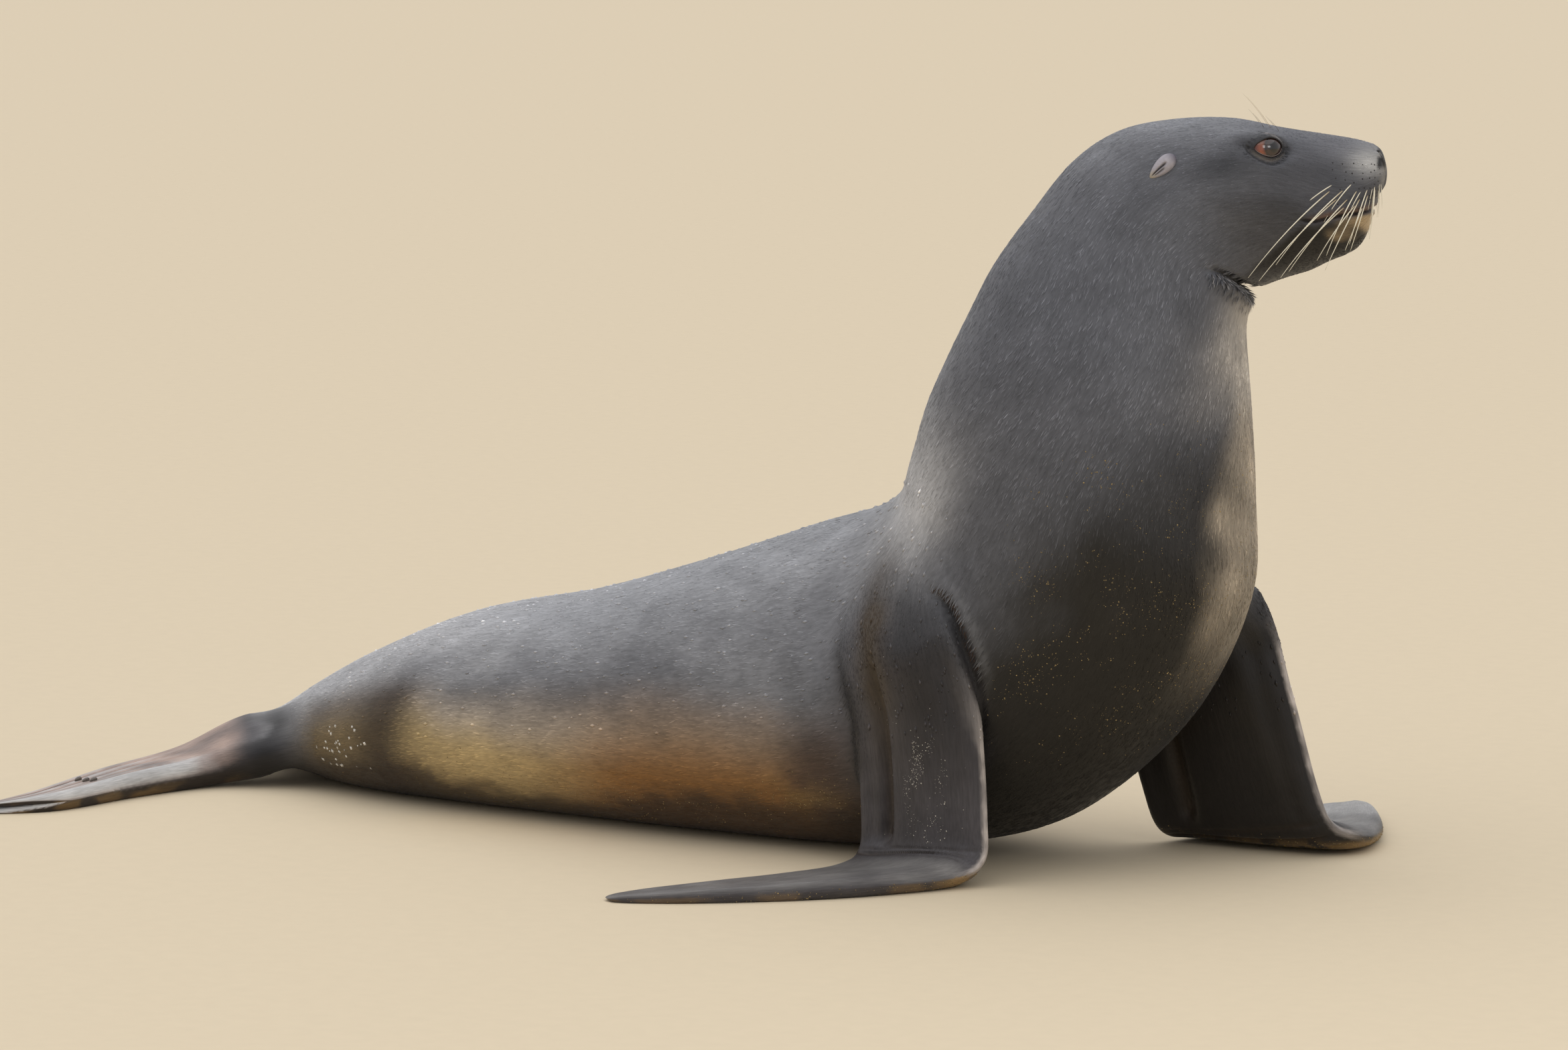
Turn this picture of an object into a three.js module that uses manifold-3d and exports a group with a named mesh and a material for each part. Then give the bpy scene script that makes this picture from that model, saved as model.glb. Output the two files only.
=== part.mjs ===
// A still, life-size New Zealand sea lion (sub-adult male) that sits on its belly
// with the forequarters raised. Millimetres, +X to the front, +Y to the animal's left, +Z up.
// The floor is z = 0, and the origin is on it, under the belly.
import * as THREE from 'three';
import { ParametricGeometry } from 'three/addons/geometries/ParametricGeometry.js';
import { mergeVertices } from 'three/addons/utils/BufferGeometryUtils.js';
import Module from 'manifold-3d';

const wasm = await Module();
wasm.setup();

// ---------------------------------------------------------------- driving dimensions
const GAP = 0.35; // clear joint between neighbouring nodes
const HEAD_TURN = THREE.MathUtils.degToRad(35); // the head looks to the animal's left
const TURN_AXIS_X = 650; // upright axis that the neck twists about
const TURN_FROM_Z = 430;
const TURN_TO_Z = 780;
const EYE = { x: 849, y: 60, z: 925, radius: 21 };
const EAR = { x: 738, y: 88, z: 921, length: 42, radius: 10 };
const NOSTRIL = { x: 1008, y: 13, z: 914, length: 9, radius: 4 };
const MOUTH_LINE = [[897, 838], [917, 836], [947, 842], [1030, 848]]; // lips in side view
const MOUTH_GAP = 1.6;
const MOUTH_DEPTH = 6;
const AROUND = 32; // facets round the body
const FLIPPER_AROUND = 18;
const HIND_AROUND = 30;

// Sections of the body from tail to nose: back and belly as [x, z] in the middle plane,
// half width, height of the widest place (0 belly, 1 back), roundness powers, shift to the left.
const BODY = [
  { name: 'tail_tip', back: [-802, 34], belly: [-802, 18], half: 14, mid: 0.5, top: 2, low: 2, side: 20 },
  { name: 'tail_middle', back: [-755, 56], belly: [-758, 24], half: 28, mid: 0.5, top: 2, low: 2, side: 18 },
  { name: 'tail_root', back: [-700, 92], belly: [-712, 24], half: 58, mid: 0.45, top: 2, low: 2, side: 16 },
  { name: 'rump_end', back: [-622, 136], belly: [-636, 6], half: 112, mid: 0.44, top: 2, low: 2.1, side: 12 },
  { name: 'hips', back: [-500, 197], belly: [-505, -8], half: 160, mid: 0.47, top: 2, low: 2.1, side: 6 },
  { name: 'loin', back: [-330, 262], belly: [-330, -10], half: 196, mid: 0.48, top: 2.1, low: 2.1, side: 0 },
  { name: 'belly', back: [-130, 306], belly: [-120, -10], half: 214, mid: 0.48, top: 2.1, low: 2.1, side: 0 },
  { name: 'ribs', back: [60, 363], belly: [100, -8], half: 220, mid: 0.45, top: 2.1, low: 2.2, side: 0 },
  { name: 'withers', back: [225, 419], belly: [330, -2], half: 216, mid: 0.44, top: 2, low: 2.2, side: 0 },
  { name: 'shoulder', back: [330, 452], belly: [530, 28], half: 212, mid: 0.46, top: 2, low: 2.1, side: 0 },
  { name: 'nape_bend', back: [385, 490], belly: [660, 92], half: 210, mid: 0.48, top: 2, low: 2, side: 0 },
  { name: 'brisket', back: [404, 540], belly: [780, 206], half: 208, mid: 0.5, top: 2, low: 2, side: 0 },
  { name: 'chest', back: [424, 596], belly: [850, 345], half: 204, mid: 0.5, top: 2, low: 2, side: 0 },
  { name: 'neck_low', back: [450, 652], belly: [853, 470], half: 196, mid: 0.5, top: 2, low: 2, side: 0 },
  { name: 'neck_middle', back: [478, 710], belly: [846, 590], half: 182, mid: 0.5, top: 2, low: 2, side: 0 },
  { name: 'neck_top', back: [512, 776], belly: [838, 690], half: 158, mid: 0.5, top: 2, low: 2, side: 0 },
  { name: 'gullet', back: [559, 842], belly: [842, 746], half: 136, mid: 0.52, top: 2, low: 2, side: 0 },
  { name: 'occiput', back: [614, 910], belly: [858, 748], half: 120, mid: 0.55, top: 2, low: 2, side: 0 },
  { name: 'crown', back: [672, 948], belly: [876, 754], half: 108, mid: 0.56, top: 2, low: 1.9, side: 0 },
  { name: 'ears', back: [740, 962], belly: [894, 760], half: 101, mid: 0.56, top: 2.4, low: 1.8, side: 0 },
  { name: 'eyes', back: [815, 963], belly: [918, 768], half: 91, mid: 0.55, top: 2.9, low: 1.8, side: 0 },
  { name: 'stop', back: [880, 951], belly: [942, 780], half: 76, mid: 0.5, top: 2.8, low: 1.9, side: 0 },
  { name: 'muzzle', back: [935, 943], belly: [966, 790], half: 62, mid: 0.46, top: 2.2, low: 2, side: 0 },
  { name: 'nose_base', back: [981, 935], belly: [985, 804], half: 51, mid: 0.48, top: 2, low: 2, side: 0 },
  { name: 'nose', back: [1004, 925], belly: [997, 826], half: 36, mid: 0.54, top: 2, low: 2, side: 0 },
  { name: 'nose_tip', back: [1013, 903], belly: [1007, 864], half: 7, mid: 0.5, top: 2, low: 2, side: 0 },
];

// Sections of the flippers from root to tip, for the right side: leading edge (the thick roll of
// the first digit), trailing edge, and the thickness at the roll, in the middle and at the back.
const FORE_RIGHT = [
  { name: 'shoulder', lead: [540, -110, 410], trail: [400, -90, 390], thick: [80, 90, 60] },
  { name: 'elbow', lead: [575, -190, 322], trail: [380, -186, 300], thick: [80, 90, 60] },
  { name: 'forearm', lead: [602, -202, 215], trail: [412, -202, 190], thick: [56, 66, 30] },
  { name: 'wrist', lead: [617, -210, 86], trail: [412, -190, 82], thick: [42, 40, 18] },
  { name: 'heel', lead: [620, -222, 32], trail: [408, -190, 22], thick: [40, 34, 14] },
  { name: 'palm', lead: [602, -268, 15], trail: [404, -236, 7], thick: [36, 24, 9] },
  { name: 'blade', lead: [550, -358, 13], trail: [376, -322, 5], thick: [32, 18, 8] },
  { name: 'digits', lead: [480, -446, 10], trail: [338, -408, 5], thick: [26, 14, 7] },
  { name: 'lobes', lead: [392, -528, 8], trail: [300, -488, 4], thick: [19, 10, 6] },
  { name: 'tip', lead: [306, -588, 4], trail: [272, -562, 3], thick: [10, 7, 5] },
];
// The left fore flipper stands further forward.
const FORE_LEFT = [
  { name: 'shoulder', lead: [740, -100, 410], trail: [600, -80, 390], thick: [80, 90, 60] },
  { name: 'elbow', lead: [788, -184, 322], trail: [566, -150, 300], thick: [80, 90, 60] },
  { name: 'forearm', lead: [824, -194, 215], trail: [584, -160, 190], thick: [56, 66, 30] },
  { name: 'wrist', lead: [856, -206, 92], trail: [606, -176, 80], thick: [42, 40, 18] },
  { name: 'heel', lead: [874, -220, 42], trail: [620, -196, 20], thick: [40, 34, 14] },
  { name: 'palm', lead: [896, -264, 24], trail: [636, -240, 7], thick: [36, 24, 9] },
  { name: 'blade', lead: [872, -344, 16], trail: [650, -330, 5], thick: [32, 18, 8] },
  { name: 'digits', lead: [814, -445, 10], trail: [655, -425, 5], thick: [26, 14, 7] },
  { name: 'lobes', lead: [748, -538, 8], trail: [650, -505, 4], thick: [19, 10, 6] },
  { name: 'tip', lead: [690, -604, 4], trail: [658, -580, 3], thick: [10, 7, 5] },
];
const HIND = [
  { name: 'thigh', lead: [-500, -100, 60], trail: [-560, -60, 118], thick: [70, 70, 60] },
  { name: 'ankle', lead: [-624, -146, 29], trail: [-718, -56, 76], thick: [56, 54, 44] },
  { name: 'foot', lead: [-680, -192, 20], trail: [-790, -127, 31], thick: [42, 38, 30] },
  { name: 'web', lead: [-708, -304, 16], trail: [-826, -256, 14], thick: [34, 24, 20] },
  { name: 'digits', lead: [-724, -448, 12], trail: [-808, -408, 9], thick: [25, 14, 13] },
  { name: 'tip', lead: [-790, -534, 6], trail: [-816, -506, 5], thick: [12, 9, 8] },
];
const HIND_DIGITS = 5;
const CLAWED_DIGITS = [2, 3, 4];
const CLAW = { place: 3.35, length: 18, radius: 3.6, lift: 1.2 };

// ---------------------------------------------------------------- curves through the sections
// Catmull-Rom spline through rows of numbers, at a place counted in rows.
function along(rows, place) {
  const last = rows.length - 1;
  const first = Math.min(Math.max(Math.floor(place), 0), last - 1);
  const f = place - first;
  const [p0, p1, p2, p3] = [first - 1, first, first + 1, first + 2].map((k) => rows[Math.min(Math.max(k, 0), last)]);
  return p1.map((value, i) => 0.5 * (2 * value + (p2[i] - p0[i]) * f
    + (2 * p0[i] - 5 * value + 4 * p2[i] - p3[i]) * f * f + (3 * value - p0[i] - 3 * p2[i] + p3[i]) * f ** 3));
}

const BODY_ROWS = BODY.map((s) => [...s.back, ...s.belly, s.half, s.mid, s.top, s.low, s.side]);
const flipperRows = (table) => table.map((s) => [...s.lead, ...s.trail, ...s.thick]);
const place = (name) => BODY.findIndex((s) => s.name === name);
const rounded = (value, power) => Math.sign(value) * Math.abs(value) ** (2 / power);

// The neck twists to the left between two heights, and carries the head with it.
function turned(point) {
  const rise = THREE.MathUtils.smoothstep(point.z, TURN_FROM_Z, TURN_TO_Z);
  const angle = HEAD_TURN * rise;
  const x = point.x - TURN_AXIS_X;
  return point.set(
    TURN_AXIS_X + x * Math.cos(angle) - point.y * Math.sin(angle),
    x * Math.sin(angle) + point.y * Math.cos(angle),
    point.z,
  );
}

// A point of the body's surface: a superellipse in the plane of its section, grown by `grow`.
function bodyPoint(where, angle, grow, target) {
  const [bx, bz, vx, vz, half, mid, top, low, side] = along(BODY_ROWS, where);
  const upper = Math.cos(angle) >= 0;
  const power = upper ? top : low;
  const length = Math.hypot(bx - vx, bz - vz);
  const reach = (upper ? 1 - mid : mid) * length + grow;
  const h = mid * length + reach * rounded(Math.cos(angle), power);
  return turned(target.set(
    vx + (bx - vx) * (h / length),
    side + (half + grow) * rounded(Math.sin(angle), power),
    vz + (bz - vz) * (h / length),
  ));
}

// ---------------------------------------------------------------- solids
function toManifold(geometry) {
  const bare = geometry.index ? geometry.toNonIndexed() : geometry.clone();
  bare.deleteAttribute('normal');
  bare.deleteAttribute('uv');
  const merged = mergeVertices(bare, 1e-4);
  const index = Array.from(merged.index.array);
  const kept = [];
  for (let i = 0; i < index.length; i += 3) {
    const [a, b, c] = index.slice(i, i + 3);
    if (a !== b && b !== c && c !== a) kept.push(a, b, c);
  }
  const mesh = new wasm.Mesh({
    numProp: 3,
    vertProperties: new Float32Array(merged.attributes.position.array),
    triVerts: new Uint32Array(kept),
  });
  mesh.merge();
  return new wasm.Manifold(mesh);
}

// A closed loft: rings at `stops`, each closed by a point at the middle of its end ring.
function loft(pointAt, stops, around) {
  const rows = stops.length + 1;
  const centre = (stop) => {
    const sum = new THREE.Vector3();
    for (let k = 0; k < around; k += 1) sum.add(pointAt(stop, (k / around) * 2 * Math.PI, new THREE.Vector3()));
    return sum.divideScalar(around);
  };
  const ends = [centre(stops[0]), centre(stops[stops.length - 1])];
  const surface = (v, u, target) => {
    const row = Math.round(u * rows);
    if (row === 0) return target.copy(ends[0]);
    if (row === rows) return target.copy(ends[1]);
    const turn = (around - Math.round(v * around)) % around;
    return pointAt(stops[row - 1], (turn / around) * 2 * Math.PI, target);
  };
  return toManifold(new ParametricGeometry(surface, around, rows));
}

const spaced = (from, to, count) => Array.from({ length: count + 1 }, (_, k) => from + ((to - from) * k) / count);

const BELOW_FLOOR = toManifold(new THREE.BoxGeometry(4000, 4000, 200).translate(0, 0, -100));

// Part of the body between two named sections. Every piece shares one set of rings, so that a
// grown copy has the same facets.
function bodyPiece(fromName, toName, options = {}) {
  const { startGap = 0, grow = 0, around = AROUND } = options;
  const stops = [place(fromName) + startGap];
  for (let section = place(fromName); section < place(toName); section += 1) {
    stops.push(...spaced(section, section + 1, section < place('nape_bend') ? 3 : 2).slice(1));
  }
  return loft((where, angle, target) => bodyPoint(where, angle, grow, target), stops, around);
}

// Half thickness fades to nothing in a quarter circle over the first part of `distance`.
const cap = (distance) => Math.sqrt(1 - (1 - Math.min(Math.max(distance, 0), 1)) ** 2);

// A flipper's section runs from its leading to its trailing edge. `notches` cuts the tip into
// that many lobes and raises as many ridges.
function flipperPoint(rows, where, angle, grow, notches, target) {
  const last = rows.length - 1;
  const across = (1 - Math.cos(angle)) / 2;
  const lobe = notches ? Math.abs(Math.sin(Math.PI * notches * across)) ** 0.5 : 1;
  const nearTip = THREE.MathUtils.smoothstep(where, last * 0.55, last);
  const at = where - (1 - lobe) * 0.55 * nearTip;
  const row = along(rows, at);
  const behind = along(rows, Math.max(at - 0.01, 0));
  const ahead = along(rows, Math.min(at + 0.01, last));
  const lead = new THREE.Vector3(...row.slice(0, 3));
  const chord = new THREE.Vector3(...row.slice(3, 6)).sub(lead);
  const axis = new THREE.Vector3(
    ahead[0] + ahead[3] - behind[0] - behind[3],
    ahead[1] + ahead[4] - behind[1] - behind[4],
    ahead[2] + ahead[5] - behind[2] - behind[5],
  );
  const face = new THREE.Vector3().crossVectors(chord, axis).normalize();
  const width = chord.length();
  const [thickLead, thickMiddle, thickTrail] = row.slice(6);
  const blend = across * across * (3 - 2 * across);
  const ridge = notches ? 1 + 0.3 * (lobe - 0.6) * THREE.MathUtils.smoothstep(where, last * 0.3, last * 0.6) : 1;
  const half = (thickLead + (thickTrail - thickLead) * blend) / 2
    + (thickMiddle - (thickLead + thickTrail) / 2) / 2 * Math.sin(Math.PI * across) ** 2;
  const edges = cap((across * width) / (thickLead / 2)) * cap(((1 - across) * width) / (thickTrail * 0.8));
  const tip = cap((last - where) / 0.35 + 0.02);
  const out = Math.sign(Math.sin(angle) + 1e-9) * (half * ridge * edges * tip + grow);
  return target.copy(lead).addScaledVector(chord, across).addScaledVector(face, out);
}

function flipper(table, side, options) {
  const { rings, notches = 0, grow = 0, around = FLIPPER_AROUND } = options;
  const rows = flipperRows(table);
  const stops = spaced(0, rows.length - 1, rings);
  const solid = loft((where, angle, target) => {
    // The left side is the mirror of the right one, run round the other way to keep its faces out.
    flipperPoint(rows, where, side < 0 ? -angle : angle, grow, notches, target);
    target.y *= -side;
    return target;
  }, stops, around);
  return solid.subtract(BELOW_FLOOR);
}

function toGeometry(solid) {
  const mesh = solid.getMesh();
  const geometry = new THREE.BufferGeometry();
  const stride = mesh.numProp;
  const positions = new Float32Array(mesh.numVert * 3);
  for (let i = 0; i < mesh.numVert; i += 1) {
    for (let k = 0; k < 3; k += 1) positions[3 * i + k] = mesh.vertProperties[stride * i + k];
  }
  geometry.setAttribute('position', new THREE.BufferAttribute(positions, 3));
  geometry.setIndex(Array.from(mesh.triVerts));
  geometry.computeVertexNormals();
  return geometry;
}

// ---------------------------------------------------------------- materials
const finish = (color, roughness) => new THREE.MeshStandardMaterial({ color, roughness, metalness: 0 });
const COAT = finish(0x4a4a4d, 0.55);
const BELLY_COAT = finish(0x5b4433, 0.6);
const FLIPPER_SKIN = finish(0x2b2a2e, 0.35);
const EAR_SKIN = finish(0x9a96a0, 0.5);
const EYE_SURFACE = finish(0x1a0d08, 0.05);
const CLAW_HORN = finish(0x3a322b, 0.4);

const group = new THREE.Group();
function addNode(name, solid, material) {
  const mesh = new THREE.Mesh(toGeometry(solid), material);
  mesh.name = name;
  group.add(mesh);
}

// ---------------------------------------------------------------- the sea lion
// A closed spindle of `length` from `from` towards `direction`, widest near its root.
function spindle(length, radius, from, direction, steps = 4, around = 8) {
  const profile = spaced(0, 1, steps).map((s) => new THREE.Vector2(
    s === 0 || s === 1 ? 0 : radius * Math.sin(Math.PI * s ** 0.7) ** 0.7,
    s * length,
  ));
  const turn = new THREE.Quaternion().setFromUnitVectors(new THREE.Vector3(0, 1, 0), direction.clone().normalize());
  return new THREE.LatheGeometry(profile, around).applyQuaternion(turn).translate(from.x, from.y, from.z);
}

const turnHead = (geometry) => geometry.translate(-TURN_AXIS_X, 0, 0).rotateZ(HEAD_TURN).translate(TURN_AXIS_X, 0, 0);
const eyeball = (side, radius) => toManifold(
  turnHead(new THREE.SphereGeometry(radius, 16, 8).translate(EYE.x, side * EYE.y, EYE.z)),
);

// The mouth's line: a thin slab that follows the lips in side view, kept to the outer few millimetres.
function mouthGroove() {
  const lips = MOUTH_LINE.map(([x, z]) => new THREE.Vector2(x, z));
  const outline = [
    ...lips.map((p) => new THREE.Vector2(p.x, p.y + MOUTH_GAP / 2)),
    ...lips.reverse().map((p) => new THREE.Vector2(p.x, p.y - MOUTH_GAP / 2)),
  ];
  const slab = new THREE.ExtrudeGeometry(new THREE.Shape(outline), { depth: 240, bevelEnabled: false });
  slab.rotateX(Math.PI / 2).translate(0, 120, 0);
  const core = bodyPiece('eyes', 'nose_tip', { grow: -MOUTH_DEPTH, around: 12 });
  return toManifold(turnHead(slab)).subtract(core);
}

function nostril(side) {
  const from = new THREE.Vector3(NOSTRIL.x - NOSTRIL.length, side * NOSTRIL.y, NOSTRIL.z);
  return toManifold(turnHead(spindle(NOSTRIL.length * 1.6, NOSTRIL.radius, from, new THREE.Vector3(1, side * 0.35, 0.1))));
}

// A small nail on the upper face of a hind digit, pointing to its tip.
function claw(side, digit) {
  const rows = flipperRows(HIND);
  const angle = Math.acos(1 - (2 * (digit - 0.5)) / HIND_DIGITS);
  const [root, ahead] = [0, 0.2].map((step) => {
    const point = flipperPoint(rows, CLAW.place + step, angle, CLAW.lift, HIND_DIGITS, new THREE.Vector3());
    point.y *= -side;
    return point;
  });
  return toManifold(spindle(CLAW.length, CLAW.radius, root, ahead.sub(root)));
}

const grownBody = bodyPiece('tail_tip', 'neck_middle', { grow: GAP });
const grownHead = bodyPiece('gullet', 'muzzle', { grow: GAP });
const SIDES = [{ name: 'left', side: 1, fore: FORE_LEFT }, { name: 'right', side: -1, fore: FORE_RIGHT }];

const TRUNK = [
  { name: 'tail', from: 'tail_tip', to: 'tail_root', startGap: 0 },
  { name: 'rump', from: 'tail_root', to: 'loin', startGap: 0.03 },
  { name: 'belly', from: 'loin', to: 'ribs', startGap: 0.01 },
  { name: 'chest', from: 'ribs', to: 'nape_bend', startGap: 0.01 },
  { name: 'neck', from: 'nape_bend', to: 'gullet', startGap: 0.03 },
];
for (const piece of TRUNK) {
  const solid = bodyPiece(piece.from, piece.to, piece).subtract(BELOW_FLOOR);
  addNode(piece.name, solid, ['rump', 'belly'].includes(piece.name) ? BELLY_COAT : COAT);
}

let head = bodyPiece('gullet', 'nose_tip', { startGap: 0.03 }).subtract(mouthGroove());
for (const { side } of SIDES) head = head.subtract(eyeball(side, EYE.radius + GAP)).subtract(nostril(side));
addNode('head', head, COAT);

for (const { name, side, fore } of SIDES) {
  addNode(`eye_${name}`, eyeball(side, EYE.radius), EYE_SURFACE);
  const earRoot = new THREE.Vector3(EAR.x, side * EAR.y, EAR.z);
  const earWay = new THREE.Vector3(-1, side * 0.25, -0.9);
  const ear = toManifold(turnHead(spindle(EAR.length, EAR.radius, earRoot, earWay, 6, 14)));
  addNode(`ear_${name}`, ear.subtract(grownHead), EAR_SKIN);
  addNode(`fore_flipper_${name}`, flipper(fore, side, { rings: 19 }).subtract(grownBody), FLIPPER_SKIN);
  const hind = flipper(HIND, side, { rings: 12, notches: HIND_DIGITS, around: HIND_AROUND }).subtract(grownBody);
  addNode(`hind_flipper_${name}`, hind, FLIPPER_SKIN);
  const grownHind = flipper(HIND, side, { rings: 12, notches: HIND_DIGITS, around: HIND_AROUND, grow: GAP });
  for (const digit of CLAWED_DIGITS) addNode(`claw_${name}_${digit}`, claw(side, digit).subtract(grownHind), CLAW_HORN);
}

export default group;
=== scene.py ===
"""A still, life-size New Zealand sea lion, resting on its belly and flippers on a pale floor.

The shapes are worked out in millimetres and put into the meshes in metres.
+X is the animal's front, +Y its left and +Z up; the floor is z = 0."""
import math

import bpy
import numpy as np
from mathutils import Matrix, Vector


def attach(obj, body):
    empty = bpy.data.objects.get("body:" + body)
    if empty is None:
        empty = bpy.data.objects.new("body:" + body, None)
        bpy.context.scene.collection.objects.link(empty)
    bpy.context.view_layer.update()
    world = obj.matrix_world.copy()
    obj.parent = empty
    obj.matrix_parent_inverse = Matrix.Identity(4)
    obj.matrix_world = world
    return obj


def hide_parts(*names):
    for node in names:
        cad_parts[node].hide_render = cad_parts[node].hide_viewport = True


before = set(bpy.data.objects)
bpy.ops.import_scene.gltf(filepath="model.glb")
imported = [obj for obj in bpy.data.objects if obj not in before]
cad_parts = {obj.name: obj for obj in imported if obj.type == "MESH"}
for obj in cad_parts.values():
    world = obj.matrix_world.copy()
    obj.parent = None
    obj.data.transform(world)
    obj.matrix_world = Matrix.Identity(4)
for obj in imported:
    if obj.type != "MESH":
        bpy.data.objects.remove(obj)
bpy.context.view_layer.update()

SEED = 1847
THINNED = 1         # the coat's tuft counts are divided by this
MM = 0.001

# ------------------------------------------------------------------ driving sizes, millimetres
HEAD_TURN = math.radians(35)        # the head looks to the animal's left
TURN_AXIS_X = 650
TURN_FROM_Z, TURN_TO_Z = 430, 780
COAT_DEPTH = 2.4                    # how far the skin lies under the solids on the trunk
FACE_COAT_DEPTH = 0.9
BARE_DEPTH = 0.3                    # on the flippers, where the hair is hardly there

# Sections of the body from tail to nose: back x, z and belly x, z in the middle plane, half
# width, height of the widest place (0 belly, 1 back), roundness powers, shift to the left.
BODY_SECTIONS = {
    "tail_tip": (-802, 34, -802, 18, 14, .5, 2, 2, 20),
    "tail_middle": (-755, 56, -758, 24, 28, .5, 2, 2, 18),
    "tail_root": (-700, 92, -712, 24, 58, .45, 2, 2, 16),
    "rump_end": (-622, 136, -636, 6, 112, .44, 2, 2.1, 12),
    "hips": (-500, 197, -505, -8, 160, .47, 2, 2.1, 6),
    "loin": (-330, 262, -330, -10, 196, .48, 2.1, 2.1, 0),
    "belly": (-130, 306, -120, -10, 214, .48, 2.1, 2.1, 0),
    "ribs": (60, 363, 100, -8, 220, .45, 2.1, 2.2, 0),
    "withers": (225, 419, 330, -2, 216, .44, 2, 2.2, 0),
    "shoulder": (330, 452, 530, 28, 212, .46, 2, 2.1, 0),
    "nape_bend": (385, 490, 660, 92, 210, .48, 2, 2, 0),
    "brisket": (404, 540, 780, 206, 208, .5, 2, 2, 0),
    "chest": (424, 596, 850, 345, 204, .5, 2, 2, 0),
    "neck_low": (450, 652, 853, 470, 196, .5, 2, 2, 0),
    "neck_middle": (478, 710, 846, 590, 182, .5, 2, 2, 0),
    "neck_top": (512, 776, 838, 690, 158, .5, 2, 2, 0),
    "gullet": (559, 842, 842, 746, 136, .52, 2, 2, 0),
    "occiput": (614, 910, 858, 748, 120, .55, 2, 2, 0),
    "crown": (672, 948, 876, 754, 108, .56, 2, 1.9, 0),
    "ears": (740, 962, 894, 760, 101, .56, 2.4, 1.8, 0),
    "eyes": (815, 963, 918, 768, 91, .55, 2.9, 1.8, 0),
    "stop": (880, 951, 942, 780, 76, .5, 2.8, 1.9, 0),
    "muzzle": (935, 943, 966, 790, 62, .46, 2.2, 2, 0),
    "nose_base": (981, 935, 985, 804, 51, .48, 2, 2, 0),
    "nose": (1004, 925, 997, 826, 36, .54, 2, 2, 0),
    "nose_tip": (1013, 903, 1007, 864, 7, .5, 2, 2, 0),
}
SECTION = {name: k for k, name in enumerate(BODY_SECTIONS)}

# Sections of the flippers for the right side, root to tip: leading edge x, y, z, trailing edge
# x, y, z, and the thickness at the leading roll, in the middle and at the trailing margin.
FORE_RIGHT = (
    (540, -110, 410, 400, -90, 390, 80, 90, 60),    # shoulder
    (575, -190, 322, 380, -186, 300, 80, 90, 60),   # elbow
    (602, -202, 215, 412, -202, 190, 56, 66, 30),   # forearm
    (617, -210, 86, 412, -190, 82, 42, 40, 18),     # wrist
    (620, -222, 32, 408, -190, 22, 40, 34, 14),     # heel
    (602, -268, 15, 404, -236, 7, 36, 24, 9),       # palm
    (550, -358, 13, 376, -322, 5, 32, 18, 8),       # blade
    (480, -446, 10, 338, -408, 5, 26, 14, 7),       # digits
    (392, -528, 8, 300, -488, 4, 19, 10, 6),        # lobes
    (306, -588, 4, 272, -562, 3, 10, 7, 5),         # tip
)
FORE_LEFT = (
    (740, -100, 410, 600, -80, 390, 80, 90, 60),
    (788, -184, 322, 566, -150, 300, 80, 90, 60),
    (824, -194, 215, 584, -160, 190, 56, 66, 30),
    (856, -206, 92, 606, -176, 80, 42, 40, 18),
    (874, -220, 42, 620, -196, 20, 40, 34, 14),
    (896, -264, 24, 636, -240, 7, 36, 24, 9),
    (872, -344, 16, 650, -330, 5, 32, 18, 8),
    (814, -445, 10, 655, -425, 5, 26, 14, 7),
    (748, -538, 8, 650, -505, 4, 19, 10, 6),
    (690, -604, 4, 658, -580, 3, 10, 7, 5),
)
HIND = (
    (-500, -100, 60, -560, -60, 118, 70, 70, 60),   # thigh
    (-624, -146, 29, -718, -56, 76, 56, 54, 44),    # ankle
    (-680, -192, 20, -790, -127, 31, 42, 38, 30),   # foot
    (-708, -304, 16, -826, -256, 14, 34, 24, 20),   # web
    (-724, -448, 12, -808, -408, 9, 25, 14, 13),    # digits
    (-790, -534, 6, -816, -506, 5, 12, 9, 8),       # tip
)
HIND_DIGITS = 5
TIP_TAPER = 0.72                    # of a flipper's width, taken off at its very tip
NOTCH_DEPTH = 0.55                  # of a section, between the hind toes
FAR_SHIFT = 210                     # how far the left fore flipper stands ahead of the right one

EYE = {"x": 852, "y": 60, "z": 927}
EYE_HALF = (25, 21, 17)             # the eyeball's half sizes across, upright and in depth
GAZE = (0.306, 0.942, 0.139)        # forward, outward and up, for each eye
EYE_OPENING = {"middle": -4, "rear": 22.5, "front": 17.5, "above": 13, "below": 12,
               "rear_power": 1.65, "front_power": 1.9}
EAR = {"x": 738, "y": 88, "z": 921, "length": 43, "radius": 10.5}
MOUTH = ((897, 838), (917, 836), (947, 842), (1000, 848), (1030, 850))
# The crease under the jaw: angle from the back, and place in sections.
THROAT_CREASE = ((2.2, 16.39), (2.35, 16.42), (2.53, 16.3), (2.8, 16.1), (math.pi, 16.0))
GIRTH = 0.14                        # metres: the girth that the coat's coordinates are laid on
CREASE_SECTION = 45                 # length of a section there
# The coat's coordinates on the flippers, metres: where each starts on the body's own length, the
# length of a row of its table, and the width given to each.
FORE_START, HIND_START = 1.55, 0.25
FORE_ROW, HIND_ROW = 0.085, 0.10
ACROSS_SIZE = 0.2
# Creases over the fore flipper's wrist: place at the leading edge, slant and depth.
FORE_CREASES = ((3.7, 0.35, 2.2), (4.12, 0.1, 5.0), (4.5, -0.2, 1.6))

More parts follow.
